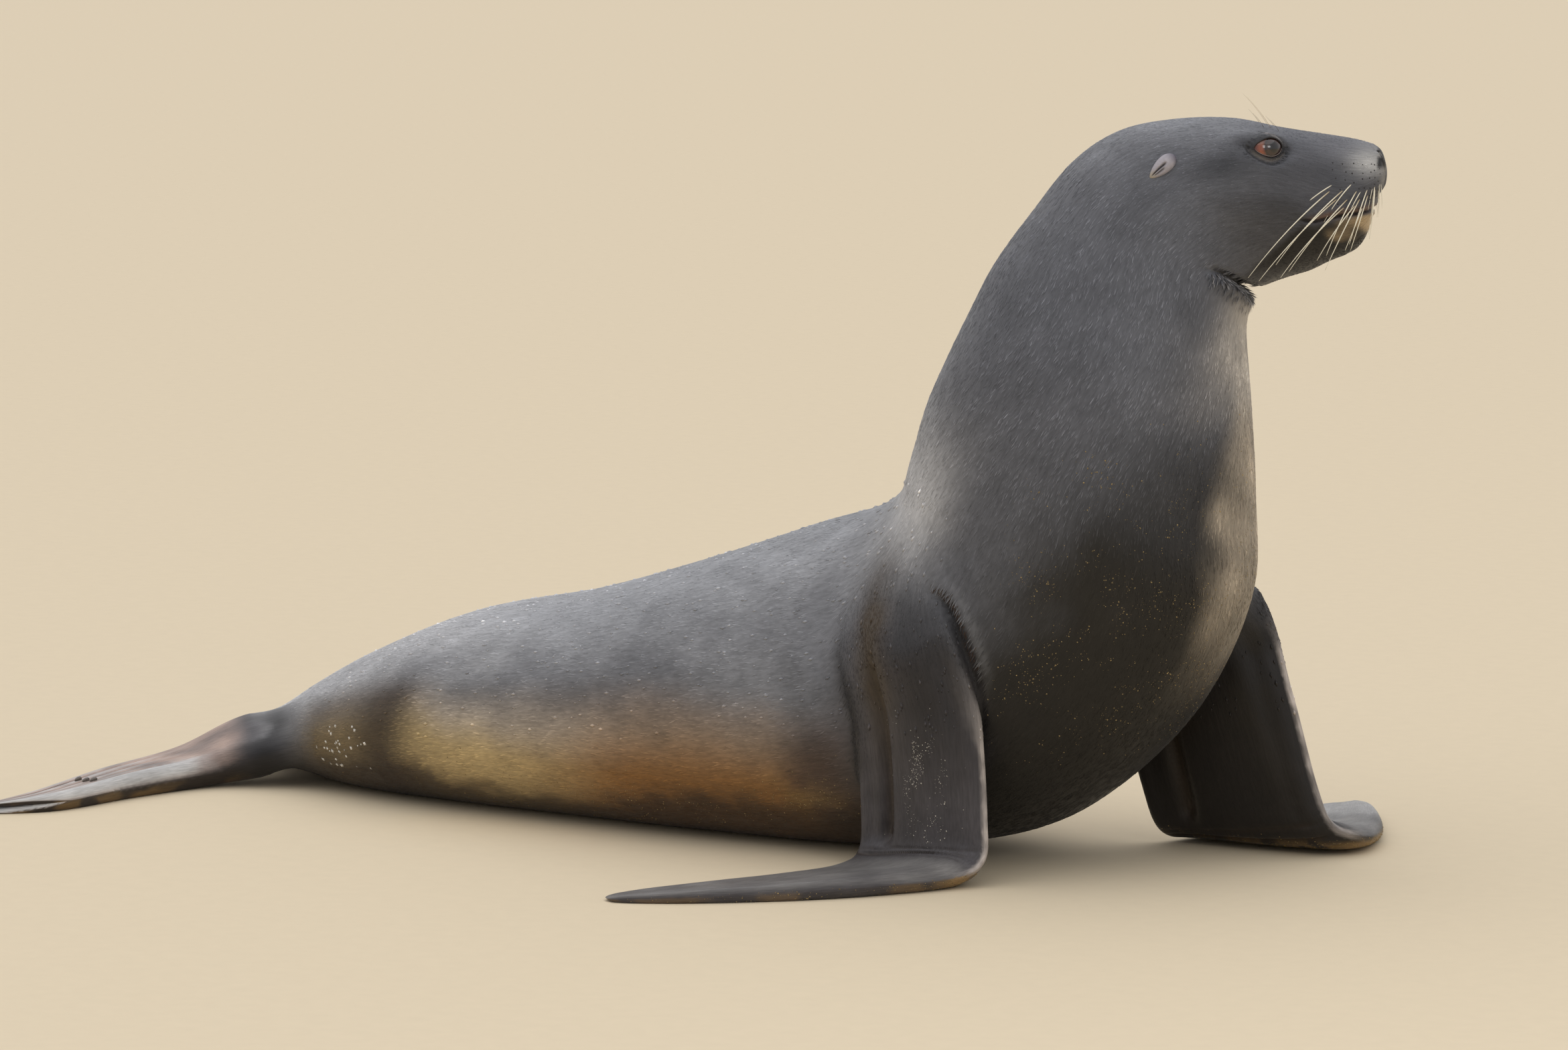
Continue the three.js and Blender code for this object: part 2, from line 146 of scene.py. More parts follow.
# The numbers of the skin's parts, and the longest edge allowed in places of it, millimetres.
BODY, RIGHT_FORE, RIGHT_HIND, LEFT_FORE, LEFT_HIND = range(5)
LONGEST_EDGE = {"trunk": 18.5, "neck": 12.5, "head": 6.8, "lips": 2.4, "crease": 5.2,
                "cleft": 6.5, "eye": 3.0, "lids": 1.2}
MOTTLE_SIZES = (260, 90, 30)        # of the large, middle and small patches, millimetres

# Colours of the coat and skin, as sRGB.
SLATE = "#505156"
# Painted sheen, where the wet coat faces the sky:
GREY_SHEEN = "#8b8c8f"
PALE_SHEEN = "#bbbaba"
TAN_REAR = "#9a9084"
TAN_FRONT = "#806e5c"
OCHRE = "#a6926a"
RED_BROWN = "#7f5a30"
VIOLET_BROWN = "#4a3b32"
BELLY_DARK = "#2b2018"
BELLY_GOLD = "#8a6d3c"
STREAK = "#3a3024"
CHEST_DARK = "#14110c"
THROAT = "#b0a89d"
THROAT_LOW = "#9c907f"
MASK = "#404044"
BRIDGE = "#68686c"
MUZZLE_TIP = "#aeaca8"
# A deeper mask, also used for painted shade in the hollow behind the eye:
DEEP_MASK_AND_SHADE = "#2a2b2f"
# The jaw's dark coat, deepened by painted shade under the mouth:
JAW = "#12100e"
CHIN = "#ae9877"
LIP = "#6d5548"
# Painted shade in the lips' groove:
MOUTH_DARK = "#1c1513"
# Black of the nose, also used for painted shade in the armpit's fold and at the ankle:
NOSE_BLACK_AND_SHADE = "#141213"
# Black of the lids, also used for painted shade round the eye sockets:
EYELID_AND_SHADE = "#232224"
LID_GREY = "#6f6a66"
FLIPPER = "#403d3f"
# Wet skin, also used for painted shade on the far fore flipper and by the armpit:
WET_SKIN_AND_SHADE = "#14100d"
# A painted highlight along the fore flippers' leading rim:
RIM_HIGHLIGHT = "#c0b6ae"
TOE_GREY = "#6f6c69"
GROOVE = "#32281f"
# Painted sheen on the hind flippers' roll and ridges and the far fore flipper's tip:
WET_SHEEN = "#b6b4b1"
HIND_WEB = "#a68e80"
# Painted shade under and between the hind toes:
HIND_SHADE = "#2a221d"
SAND = "#97794a"
GRAIN = "#8d784f"
DRY_GRAIN = "#a09a90"
WHITE_SPECK = "#c4c0b8"

# ------------------------------------------------------------------ small maths
def smooth(low, high, value):
    """0 below low and 1 above high, 3t^2 - 2t^3 of the way between."""
    t = np.clip((value - low) / (high - low), 0, 1)
    return t * t * (3 - 2 * t)

def bell(value, width):
    """exp(-(value / width)^2): 1 at the middle, falling off over width."""
    return np.exp(-(value / width) ** 2)

def spot(across, up):
    """A round bell, from two distances each counted in the spot's own half size."""
    return bell(np.hypot(across, up), 1.0)

def along(rows, place):
    """Catmull-Rom spline through rows of numbers, at a place counted in rows."""
    rows = np.asarray(rows, float)
    last = len(rows) - 1
    k = np.clip(np.floor(place).astype(int), 0, last - 1)
    f = (place - k)[..., None]
    p0, p1 = rows[np.maximum(k - 1, 0)], rows[k]
    p2, p3 = rows[k + 1], rows[np.minimum(k + 2, last)]
    return 0.5 * (2 * p1 + (p2 - p0) * f + (2 * p0 - 5 * p1 + 4 * p2 - p3) * f ** 2
                  + (3 * p1 - p0 - 3 * p2 + p3) * f ** 3)

def unit(vectors):
    """Each vector over its own length."""
    return vectors / np.maximum(np.linalg.norm(vectors, axis=-1, keepdims=True), 1e-9)

def rounded(value, power):
    """sign(value) |value|^(2 / power): a superellipse's coordinate from a cosine or sine."""
    return np.sign(value) * np.abs(value) ** (2 / power)

def turned(points):
    """Turns each point about the upright axis at TURN_AXIS_X, by HEAD_TURN times how far its
    height has climbed from TURN_FROM_Z to TURN_TO_Z: the neck's twist, and the head on it."""
    angle = HEAD_TURN * smooth(TURN_FROM_Z, TURN_TO_Z, points[..., 2])
    x, y = points[..., 0] - TURN_AXIS_X, points[..., 1]
    return np.stack([TURN_AXIS_X + x * np.cos(angle) - y * np.sin(angle),
                     x * np.sin(angle) + y * np.cos(angle), points[..., 2]], -1)

def unturned_head(points):
    """Points of the head turned back to look straight ahead."""
    cos, sin = math.cos(HEAD_TURN), math.sin(HEAD_TURN)
    x, y = points[:, 0] - TURN_AXIS_X, points[:, 1]
    return np.stack([TURN_AXIS_X + x * cos + y * sin, y * cos - x * sin, points[:, 2]], 1)

def unturned_way(vectors):
    """Directions on the head turned back to look straight ahead."""
    return unturned_head(vectors + np.array([TURN_AXIS_X, 0, 0])) - np.array([TURN_AXIS_X, 0, 0])

def unturned_to_row(vector):
    """A direction of the unturned head in the row's frame."""
    cos, sin = math.cos(HEAD_TURN), math.sin(HEAD_TURN)
    return np.array([vector[0] * cos - vector[1] * sin, vector[0] * sin + vector[1] * cos, vector[2]])

# ------------------------------------------------------------------ the body's surfaces
BODY_ROWS = np.array(list(BODY_SECTIONS.values()), float)
BODY_LAST = len(BODY_ROWS) - 1

def body_point(u, v):
    """A superellipse round each section, before the neck's twist: up the section by
    mid + (1 - mid) cos^(2/top) or mid + mid cos^(2/low), sideways by half sin^(2/power).
    u counts sections, v is the angle from the back. Past either end the ring closes."""
    at = np.clip(u, 0, BODY_LAST)
    close = 1 - np.abs(u - at)
    back_x, back_z, belly_x, belly_z, half, mid, top, low, side = np.moveaxis(
        along(BODY_ROWS, at), -1, 0)
    depth = COAT_DEPTH + (FACE_COAT_DEPTH - COAT_DEPTH) * smooth(
        SECTION["crown"], SECTION["stop"], at)
    length = np.hypot(back_x - belly_x, back_z - belly_z)
    cos, sin = np.cos(v), np.sin(v)
    power = np.where(cos >= 0, top, low)
    reach = (np.where(cos >= 0, 1 - mid, mid) * length - depth) * close
    h = mid * length + reach * rounded(cos, power)
    x = belly_x + (back_x - belly_x) * h / length
    bulge = np.where(u > BODY_LAST, 3.0 * (1 - close ** 2), 0)
    return np.stack([x + bulge, side + close * (half - depth) * rounded(sin, power),
                     belly_z + (back_z - belly_z) * h / length], -1)

def cap(distance):
    """A quarter circle: 0 at distance 0 and 1 from distance 1 on."""
    return np.sqrt(1 - (1 - np.clip(distance, 0, 1)) ** 2)

def flipper_point(rows, notches, side, u, v):
    """A blade round its chord: across = (1 - cos v) / 2 runs from the leading to the trailing
    edge, and the half thickness is laid off along chord x axis on either face. Toes pull the
    tip back by NOTCH_DEPTH between them, and TIP_TAPER rounds its outline. side is 1 for the
    right flipper, -1 for the left. Past the root the ring closes to a point, and past the tip
    its two faces close together."""
    last = len(rows) - 1
    at = np.clip(u, 0, last)
    root = (1 + np.minimum(u, 0))[..., None]
    across = (1 - np.cos(v)) / 2
    lobe = np.abs(np.sin(np.pi * notches * across)) ** 0.5 if notches else 1.0
    place = at - (1 - lobe) * NOTCH_DEPTH * smooth(0.55 * last, last, at)
    row = along(rows, place)
    behind = along(rows, np.maximum(place - 0.01, 0))
    ahead = along(rows, np.minimum(place + 0.01, last))
    lead, chord = row[..., :3], row[..., 3:6] - row[..., :3]
    taper = 1 - TIP_TAPER * (1 - cap((last - at) / 0.8))
    lead, chord = lead + chord * ((1 - taper) / 2)[..., None], chord * taper[..., None]
    axis = (ahead[..., :3] + ahead[..., 3:6]) - (behind[..., :3] + behind[..., 3:6])
    face = unit(np.cross(chord, axis))
    width = np.linalg.norm(chord, axis=-1)
    roll, middle, margin = np.moveaxis(row[..., 6:], -1, 0)
    blend = across ** 2 * (3 - 2 * across)
    half = ((roll + (margin - roll) * blend) / 2
            + (middle - (roll + margin) / 2) / 2 * np.sin(np.pi * across) ** 2)
    if notches:
        half = half * (1 + 0.3 * (lobe - 0.6) * smooth(0.3 * last, 0.6 * last, at))
    blunt = cap(across * width / (roll / 2))
    keen = cap(across * width / roll) ** 1.3
    if not notches:
        blunt = blunt + (keen - blunt) * smooth(0.8, 1.6, at) * smooth(7, 5, at)
    edges = blunt * cap((1 - across) * width / (margin * 0.8))
    tip = cap((last - at) / 0.35 + 0.02)
    thick = np.maximum(half * edges * tip - BARE_DEPTH, 0.15) * (1 - np.maximum(u - last, 0))
    out = np.sign(np.sin(v)) * np.where(np.abs(np.sin(v)) < 1e-9, 0, thick)
    point = lead + chord * across[..., None] + face * out[..., None]
    middle_point = lead + chord * 0.5
    return (middle_point + (point - middle_point) * root) * np.array([1, side, 1])

# ------------------------------------------------------------------ mesh building
def refined(place, u, v, triangles, longest, rounds):
    """Splits every edge longer than longest(middle, u) at its middle in (u, v), for some rounds.
    A triangle with one, two or three split edges becomes two, three or four."""
    for _ in range(rounds):
        points = place(u, v)
        sides = np.sort(triangles[:, [[0, 1], [1, 2], [2, 0]]].reshape(-1, 2), axis=1)
        edges, which = np.unique(sides, axis=0, return_inverse=True)
        a, b = edges.T
        limit = longest((points[a] + points[b]) / 2, (u[a] + u[b]) / 2)
        far = np.linalg.norm(points[a] - points[b], axis=1) > limit
        if not far.any():
            break
        number = np.full(len(edges), -1)
        number[far] = len(u) + np.arange(far.sum())
        u = np.concatenate([u, (u[a] + u[b])[far] / 2])
        v = np.concatenate([v, (v[a] + v[b])[far] / 2])
        middle = number[which.reshape(-1, 3)]
        count = (middle >= 0).sum(1)
        split_at = np.argmax(middle >= 0, axis=1)
        whole_at = (np.argmin(middle >= 0, axis=1) + 1) % 3
        first = np.where(count == 2, whole_at, np.where(count == 1, split_at, 0))
        order = (first[:, None] + np.arange(3)) % 3
        p, q, r = np.take_along_axis(triangles, order, 1).T
        d, e, f = np.take_along_axis(middle, order, 1).T
        one, two, three = (count == k for k in (1, 2, 3))
        stack = lambda chosen, *corners: np.stack([c[chosen] for c in corners], 1)
        triangles = np.concatenate([
            triangles[count == 0],
            stack(one, p, d, r), stack(one, d, q, r),
            stack(two, d, q, e), stack(two, p, d, e), stack(two, p, e, r),
            stack(three, p, d, f), stack(three, d, q, e), stack(three, f, e, r),
            stack(three, d, e, f)])
    return u, v, triangles

def run_along(place, first, last, count):
    """(places, millimetres run since the first) on a surface's path at v = 90 degrees."""
    fine = np.linspace(first, last, count)
    path = place(fine, np.full_like(fine, math.pi / 2))
    return fine, np.concatenate([[0], np.cumsum(np.linalg.norm(np.diff(path, axis=0), axis=1))])

def even_stops(place, first, last, spacing):
    """Places from first to last so that the path at v = 90 degrees has equal steps."""
    fine, run = run_along(place, first, last, 2000)
    return np.interp(np.linspace(0, run[-1], int(run[-1] / spacing) + 2), run, fine)

def patchwork(stops, around):
    """(u, v, triangles) of a grid of stops by around columns, with v from -pi to pi."""
    v = np.linspace(-math.pi, math.pi, around + 1)
    grid_u, grid_v = np.meshgrid(stops, v, indexing="ij")
    k = np.arange(len(stops) - 1)[:, None] * (around + 1) + np.arange(around)
    a, b, c, d = (x.ravel() for x in (k, k + 1, k + around + 2, k + around + 1))
    triangles = np.concatenate([np.stack([a, b, c], 1), np.stack([a, c, d], 1)])
    return grid_u.ravel(), grid_v.ravel(), triangles

def welded(points, triangles, *fields):
    """Merges points that share their place and drops the triangles that this empties."""
    _, keep, new = np.unique(np.round(points, 4), axis=0, return_index=True, return_inverse=True)
    triangles = new.reshape(-1)[triangles]
    a, b, c = triangles.T
    triangles = triangles[(a != b) & (b != c) & (c != a)]
    return (points[keep], triangles) + tuple(f[keep] for f in fields)

def add_mesh(name, points, triangles, **fields):
    """A smooth-shaded object from points in millimetres and triangles, with its fields as
    attributes: one number, three or four for each point."""
    mesh = bpy.data.meshes.new(name)
    mesh.vertices.add(len(points))
    mesh.vertices.foreach_set("co", np.asarray(points * MM, np.float32).ravel())
    mesh.loops.add(3 * len(triangles))
    mesh.loops.foreach_set("vertex_index", np.asarray(triangles, np.int32).ravel())
    mesh.polygons.add(len(triangles))
    mesh.polygons.foreach_set("loop_start", np.arange(0, 3 * len(triangles), 3, dtype=np.int32))
    mesh.update(calc_edges=True)
    mesh.shade_smooth()
    for key, values in fields.items():
        put_field(mesh, key, values)
    piece = bpy.data.objects.new(name, mesh)
    bpy.context.scene.collection.objects.link(piece)
    return piece

def put_field(mesh, key, values):
    """Stores an array on the mesh's points: one number, a vector or a colour each."""
    width = 1 if values.ndim == 1 else values.shape[1]
    kind, word = {1: ("FLOAT", "value"), 3: ("FLOAT_VECTOR", "vector"),
                  4: ("FLOAT_COLOR", "color")}[width]
    attribute = mesh.attributes.new(key, kind, "POINT")
    attribute.data.foreach_set(word, np.asarray(values, np.float32).ravel())

def take_field(mesh, key, width):
    """Reads back what put_field stored."""
    values = np.empty(len(mesh.attributes[key].data) * width, np.float32)
    mesh.attributes[key].data.foreach_get({1: "value", 3: "vector", 4: "color"}[width], values)
    return values.reshape(-1, width).astype(float) if width > 1 else values.astype(float)

# ------------------------------------------------------------------ face and folds
def eye_frame(side):
    """(centre, rearward, up, gaze) of an eye before the head's turn; the first two run across
    the eye and the last looks out of it."""
    centre = np.array([EYE["x"], side * EYE["y"], EYE["z"]], float)
    gaze = unit(np.array([GAZE[0], side * GAZE[1], GAZE[2]]))
    up = unit(np.array([0, 0, 1.0]) - gaze[2] * gaze)
    return centre, side * np.cross(up, gaze), up, gaze

def eyeball_depth(a, b):
    """The eyeball's height over its middle plane: an ellipsoid, reach sqrt(1 - a^2 - b^2)."""
    inside = 1 - (a / EYE_HALF[0]) ** 2 - (b / EYE_HALF[1]) ** 2
    return EYE_HALF[2] * np.sqrt(np.maximum(inside, 0.02))

def opening_at(behind, above):
    """(half width, half height, roundness) of the eye opening in one of its quarters."""
    return (np.where(behind, EYE_OPENING["rear"], EYE_OPENING["front"]),
            np.where(above, EYE_OPENING["above"], EYE_OPENING["below"]),
            np.where(behind, EYE_OPENING["rear_power"], EYE_OPENING["front_power"]))

def lid_distance(a, b):
    """How far a point of the eye's plane lies outside the almond opening, in millimetres:
    (|a / half width|^p + |b / half height|^p)^(1/p) - 1, times its mean radius."""
    a = a - EYE_OPENING["middle"]
    across, tall, p = opening_at(a > 0, b > 0)
    ratio = (np.abs(a / across) ** p + np.abs(b / tall) ** p) ** (1 / p)
    return (ratio - 1) * np.sqrt(a ** 2 + b ** 2 + 1) / np.maximum(ratio, 0.2)

def mouth_height(x):
    """Height of the lips' line at x, along MOUTH."""
    return np.interp(x, *np.array(MOUTH, float).T)

def crease_place(v):
    """Where the throat's crease crosses the angle v, in sections."""
    return np.interp(np.abs(v), *np.array(THROAT_CREASE, float).T)

def face_relief(points, out, u, v):
    """The unturned body's points with the face and its folds worked into them. Each feature
    moves points along the surface normal `out`, or for the lids along the gaze, by a sum of
    bells and smooth steps of their distance from it."""
    x, y, z = np.moveaxis(points, -1, 0)
    head = smooth(SECTION["gullet"], SECTION["occiput"], u)
    rise = np.zeros_like(x)
    # The lips: a groove, a full upper lip over it and a thinner lower one under it.
    from_lips = z - mouth_height(x)
    mouth = smooth(MOUTH[0][0] - 2, MOUTH[0][0] + 12, x) * head
    rise -= 4.2 * mouth * bell(from_lips, 2.2)
    rise += 1.6 * mouth * bell(from_lips - 7, 5)
    rise += 0.8 * mouth * bell(from_lips + 6, 4)
    rise -= 2.0 * head * bell(np.hypot(x - MOUTH[0][0] + 4, z - MOUTH[0][1] + 1), 7)
    # Furrows of the whisker rows over the upper lip, and the pad's swelling.
    pad = head * bell(x - 968, 34) * smooth(4, 10, from_lips) * smooth(60, 40, from_lips)
    rise += 1.8 * pad
    rise -= 0.7 * pad * bell(np.abs(from_lips - 9), 1.8)
    rise -= 0.5 * pad * bell(np.abs(from_lips - 17), 2.0)
    # The lips and the chin stand back from the nose.
    rise -= 5.0 * head * smooth(972, 1002, x) * smooth(880, 858, z)
    # The nose: a groove down its middle and two slanting nostrils.
    front = smooth(985, 1000, x)
    rise -= 2.0 * front * bell(y, 1.6) * smooth(852, 862, z)
    slit = np.clip((920 - z) / 24, 0, 1)
    slit_y = 17 - 8.5 * slit ** 1.6
    in_slit = front * smooth(923, 917, z) * smooth(892, 899, z)
    rise -= 6.0 * in_slit * bell(np.abs(y) - slit_y, 2.2)
    rise += 1.5 * in_slit * bell(np.abs(y) - slit_y - 4.5, 3)
    # The crease under the jaw, with a soft roll on the neck's side of it.
    along_body = (u - crease_place(v)) * CREASE_SECTION
    deep = smooth(2.05, 2.5, np.abs(v))
    rise -= 15.0 * deep * bell(along_body, 7)
    rise += 5.0 * deep * bell(along_body + 20, 13)
    rise *= smooth(BODY_LAST + 1, BODY_LAST + 0.7, u)
    points = points + out * rise[..., None]
    for side in (1, -1):
        centre, rear, up, gaze = eye_frame(side)
        offset = points - centre
        a, b, reach = offset @ rear, offset @ up, offset @ gaze
        near = smooth(60, 40, np.hypot(a, b)) * smooth(-8, 2, reach) * head
        from_lid = lid_distance(a, b)
        ball = eyeball_depth(a, b)
        lid = ball + 2.4 - 0.5 * bell(from_lid - 3.5, 1.0) - 0.9 * bell(from_lid, 0.8)
        fold = np.where(b > 0, -1.3 * bell(from_lid - 6.5, 1.6), -1.6 * bell(from_lid - 7.5, 1.6))
        brow = 3.0 * bell(b - 22, 8) * bell(a + 2, 22) - 2.5 * bell(a - 30, 10) * bell(b - 4, 12)
        trough = -3.0 * bell(a + 30, 8) * bell(b + 3, 10)
        hold = smooth(13, 1.5, from_lid)
        target = reach + (lid - reach) * hold + fold * smooth(18, 9, from_lid) + brow + trough
        to_rim = np.hypot(a / EYE_HALF[0], b / EYE_HALF[1])
        over_ball = ball + 2.6 - 1.2 * smooth(0.72, 1.0, to_rim)
        target = np.where(to_rim < 1.04, np.maximum(target, over_ball), target)
        target = np.where(from_lid < 0, ball + 1.6 - 5.0 * smooth(0, -1.6, from_lid), target)
        points = points + gaze * ((target - reach) * near)[..., None]
    return points

def as_on_right(x, y):
    """x moved back on the left side by as much as its fore flipper stands ahead."""
    return x - FAR_SHIFT * (y > 0)

def groove_across(u):
    """Where the groove before a fore flipper's trailing lobe crosses a row of its table."""
    return 0.64 + 0.035 * u

def on_floor(points):
    """Nothing reaches under the floor: the parts that rest on it are flat."""
    return np.stack([points[..., 0], points[..., 1], np.maximum(points[..., 2], 0)], -1)

def slopes(place, u, v, last):
    """How far a surface runs on over a small step of u, and of v, about each place."""
    step = 1e-3
    du = (place(np.clip(u + step, -0.9, last + 0.9), v)
          - place(np.clip(u - step, -0.9, last + 0.9), v))
    return du, place(u, v + step) - place(u, v - step)

def skin_relief(u, v):
    """The body's finished surface: its sections, the face worked in along their normals, the
    neck's twist, and the flat underside."""
    out = unit(np.cross(*slopes(body_point, u, v, BODY_LAST)))
    return on_floor(turned(face_relief(body_point(u, v), out, u, v)))

def flipper_relief(rows, notches, side, u, v):
    """A flipper's finished surface: the blade with its creases, and the flat sole."""
    place = lambda p, q: flipper_point(rows, notches, side, p, q)
    last = len(rows) - 1
    plain = place(u, v)
    du, dv = slopes(place, u, v, last)
    out = unit(np.cross(dv, du)) * side
    across = (1 - np.cos(v)) / 2
    if notches:
        rise = np.zeros_like(u)
    else:
        u = np.clip(u, 0, last)
        dent = np.zeros_like(u)
        for line, tilt, depth in FORE_CREASES:
            dent += depth * bell(u - line - tilt * across, 0.06)
        limb = smooth(0.6, 1.5, u) * smooth(4.0, 3.4, u)
        dent += 12.0 * bell(across - groove_across(u), 0.045) * limb
        dent += 4.0 * smooth(0, 0.05, across - groove_across(u)) * limb
        dent += 3.0 * bell(across - 0.13, 0.05) * limb
        fingers = np.cos(2 * np.pi * 4.5 * across) * smooth(4.5, 6, u) * smooth(9, 8, u)
        edge = smooth(0.0, 0.1, across) * smooth(1, 0.88, across)
        rise = (1.1 * fingers - dent) * edge
    return on_floor(plain + out * rise[..., None])

# ------------------------------------------------------------------ the skin
def fore_edge(points, u):
    """The longest edge allowed on a fore flipper: finest over the creases of the wrist."""
    return 10.5 - 5.9 * smooth(3.3, 3.6, u) * smooth(5.2, 4.7, u)

def hind_edge(points, u):
    """The longest edge allowed on a hind flipper: finest over the toes."""
    return 12 - 4.5 * smooth(2, 3, u)

def body_edge(points, u):
    """The longest edge allowed at a place of the turned body: finest round the eyes, then the
    lips and nose, the head, the neck and the trunk."""
    limit = np.full(len(points), LONGEST_EDGE["trunk"])
    x, y, z = points.T
    head_points = unturned_head(points)
    hx, _, hz = head_points.T
    head = smooth(700, 800, z)
    limit = limit + (LONGEST_EDGE["neck"] - limit) * smooth(560, 760, z)
    limit = limit + (LONGEST_EDGE["head"] - limit) * head * smooth(780, 840, hx)
    lips = bell(hz - mouth_height(hx), 7) * smooth(888, 900, hx)
    nose = smooth(985, 996, hx) * smooth(870, 884, hz)
    limit = limit + (LONGEST_EDGE["lips"] - limit) * np.maximum(lips, nose) * head
    crease = bell((u - crease_place(2.5)) * CREASE_SECTION, 30) * smooth(60, 120, hx - 680)
    limit = limit + (LONGEST_EDGE["crease"] - limit) * crease
    ahead = as_on_right(x, y)
    cleft = smooth(530, 550, ahead) * smooth(660, 630, ahead) * smooth(170, 200, z) * smooth(420, 390, z)
    limit = limit + (LONGEST_EDGE["cleft"] - limit) * cleft * smooth(130, 150, np.abs(y))
    for side in (1, -1):
        centre, rear, up, gaze = eye_frame(side)
        offset = head_points - centre
        a, b = offset @ rear, offset @ up
        close = smooth(34, 14, np.hypot(a, b)) * (offset @ gaze > 0)
        rim = bell(lid_distance(a, b), 2.6) * (offset @ gaze > 0)
        limit = limit + (LONGEST_EDGE["eye"] - limit) * close
        limit = limit + (LONGEST_EDGE["lids"] - limit) * rim
    return limit

def shell(place, relief, longest, last, spacing, around, rounds):
    """A closed surface over (u, v), refined where it needs it, with its (u, v) kept."""
    stops = np.concatenate([[-1], even_stops(place, 0, last, spacing), [last + 1]])
    u, v, triangles = patchwork(stops, around)
    u, v, triangles = refined(lambda p, q: on_floor(turned_or_not(place, p, q)), u, v,
                              triangles, longest, rounds)
    return welded(relief(u, v), triangles, u, v)

def turned_or_not(place, u, v):
    """The body's surface turned at the neck, or a flipper's as it is."""
    points = place(u, v)
    return turned(points) if place is body_point else points

def flat_sum(index, values, count):
    """The sum of values at each index, column by column."""
    return np.stack([np.bincount(index, column, count) for column in values.T], 1)

def edges_of(triangles):
    """Each edge once, as a pair of point numbers."""
    return np.unique(np.sort(triangles[:, [[0, 1], [1, 2], [2, 0]]].reshape(-1, 2), axis=1), axis=0)

def normals_of(points, triangles):
    """Area-weighted normals of the points."""
    a, b, c = (points[triangles[:, k]] for k in range(3))
    faces = np.cross(b - a, c - a)
    return unit(sum(flat_sum(triangles[:, k], faces, len(points)) for k in range(3)))

def fairing(values, edges, weight, rounds):
    """Moves each row half way to the mean of its neighbours, times weight, for some rounds."""
    both = np.concatenate([edges, edges[:, ::-1]])
    degree = np.bincount(both[:, 0], minlength=len(values))[:, None]
    for _ in range(rounds):
        mean = flat_sum(both[:, 0], values[both[:, 1]], len(values)) / degree
        values = values + (mean - values) * (0.5 * weight[:, None])
    return values

def spread_from(start, points, edges, rounds):
    """Distance along the edges from the points where start is true."""
    distance = np.where(start, 0.0, 1e6)
    length = np.linalg.norm(points[edges[:, 0]] - points[edges[:, 1]], axis=1)
    for _ in range(rounds):
        for p, q in ((0, 1), (1, 0)):
            np.minimum.at(distance, edges[:, p], distance[edges[:, q]] + length)
    return distance

def body_fields(u, v):
    """What the skin carries besides its shape: the coat's own coordinates (metres along the
    body and round a fixed girth), the direction it lies in, and how bare it is."""
    length = np.interp(u, *run_along(body_point, -1, BODY_LAST + 1, 1500)) * MM
    lie = np.stack([length, GIRTH * np.cos(v), GIRTH * np.sin(v)], 1)
    step = 0.02
    back = turned(body_point(np.clip(u - step, 0, BODY_LAST), v))
    ahead = turned(body_point(np.clip(u + step, 0, BODY_LAST), v))
    return lie, unit(back - ahead), np.zeros(len(u))

def surface_at(u, v):
    """Points, normals and lie of the coat at places of the finished body surface."""
    u, v = np.atleast_1d(u).astype(float), np.atleast_1d(v).astype(float)
    step = 0.02
    here = skin_relief(u, v)
    du = skin_relief(u + step, v) - skin_relief(u - step, v)
    dv = skin_relief(u, v + step) - skin_relief(u, v - step)
    return here, unit(np.cross(du, dv)), unit(-du)

def flipper_fields(rows, side, u, v, fore):
    """The same for a flipper: along it, across it and through it, towards its tip."""
    last = len(rows) - 1
    across = (1 - np.cos(v)) / 2
    u = np.clip(u, 0, last)
    length = u * (FORE_ROW if fore else HIND_ROW)
    lie = np.stack([(FORE_START if fore else HIND_START) - length, ACROSS_SIZE * across,
                    0.05 * np.sin(v)], 1)
    step = 0.05
    point = lambda p: flipper_point(rows, 0, side, np.clip(p, 0, last), v)
    way = unit(point(u + step) - point(np.minimum(u, last - 0.1) - step))
    bare = smooth(0.2, 2.0, u) if fore else smooth(0.2, 1.4, u)
    return lie, way, bare

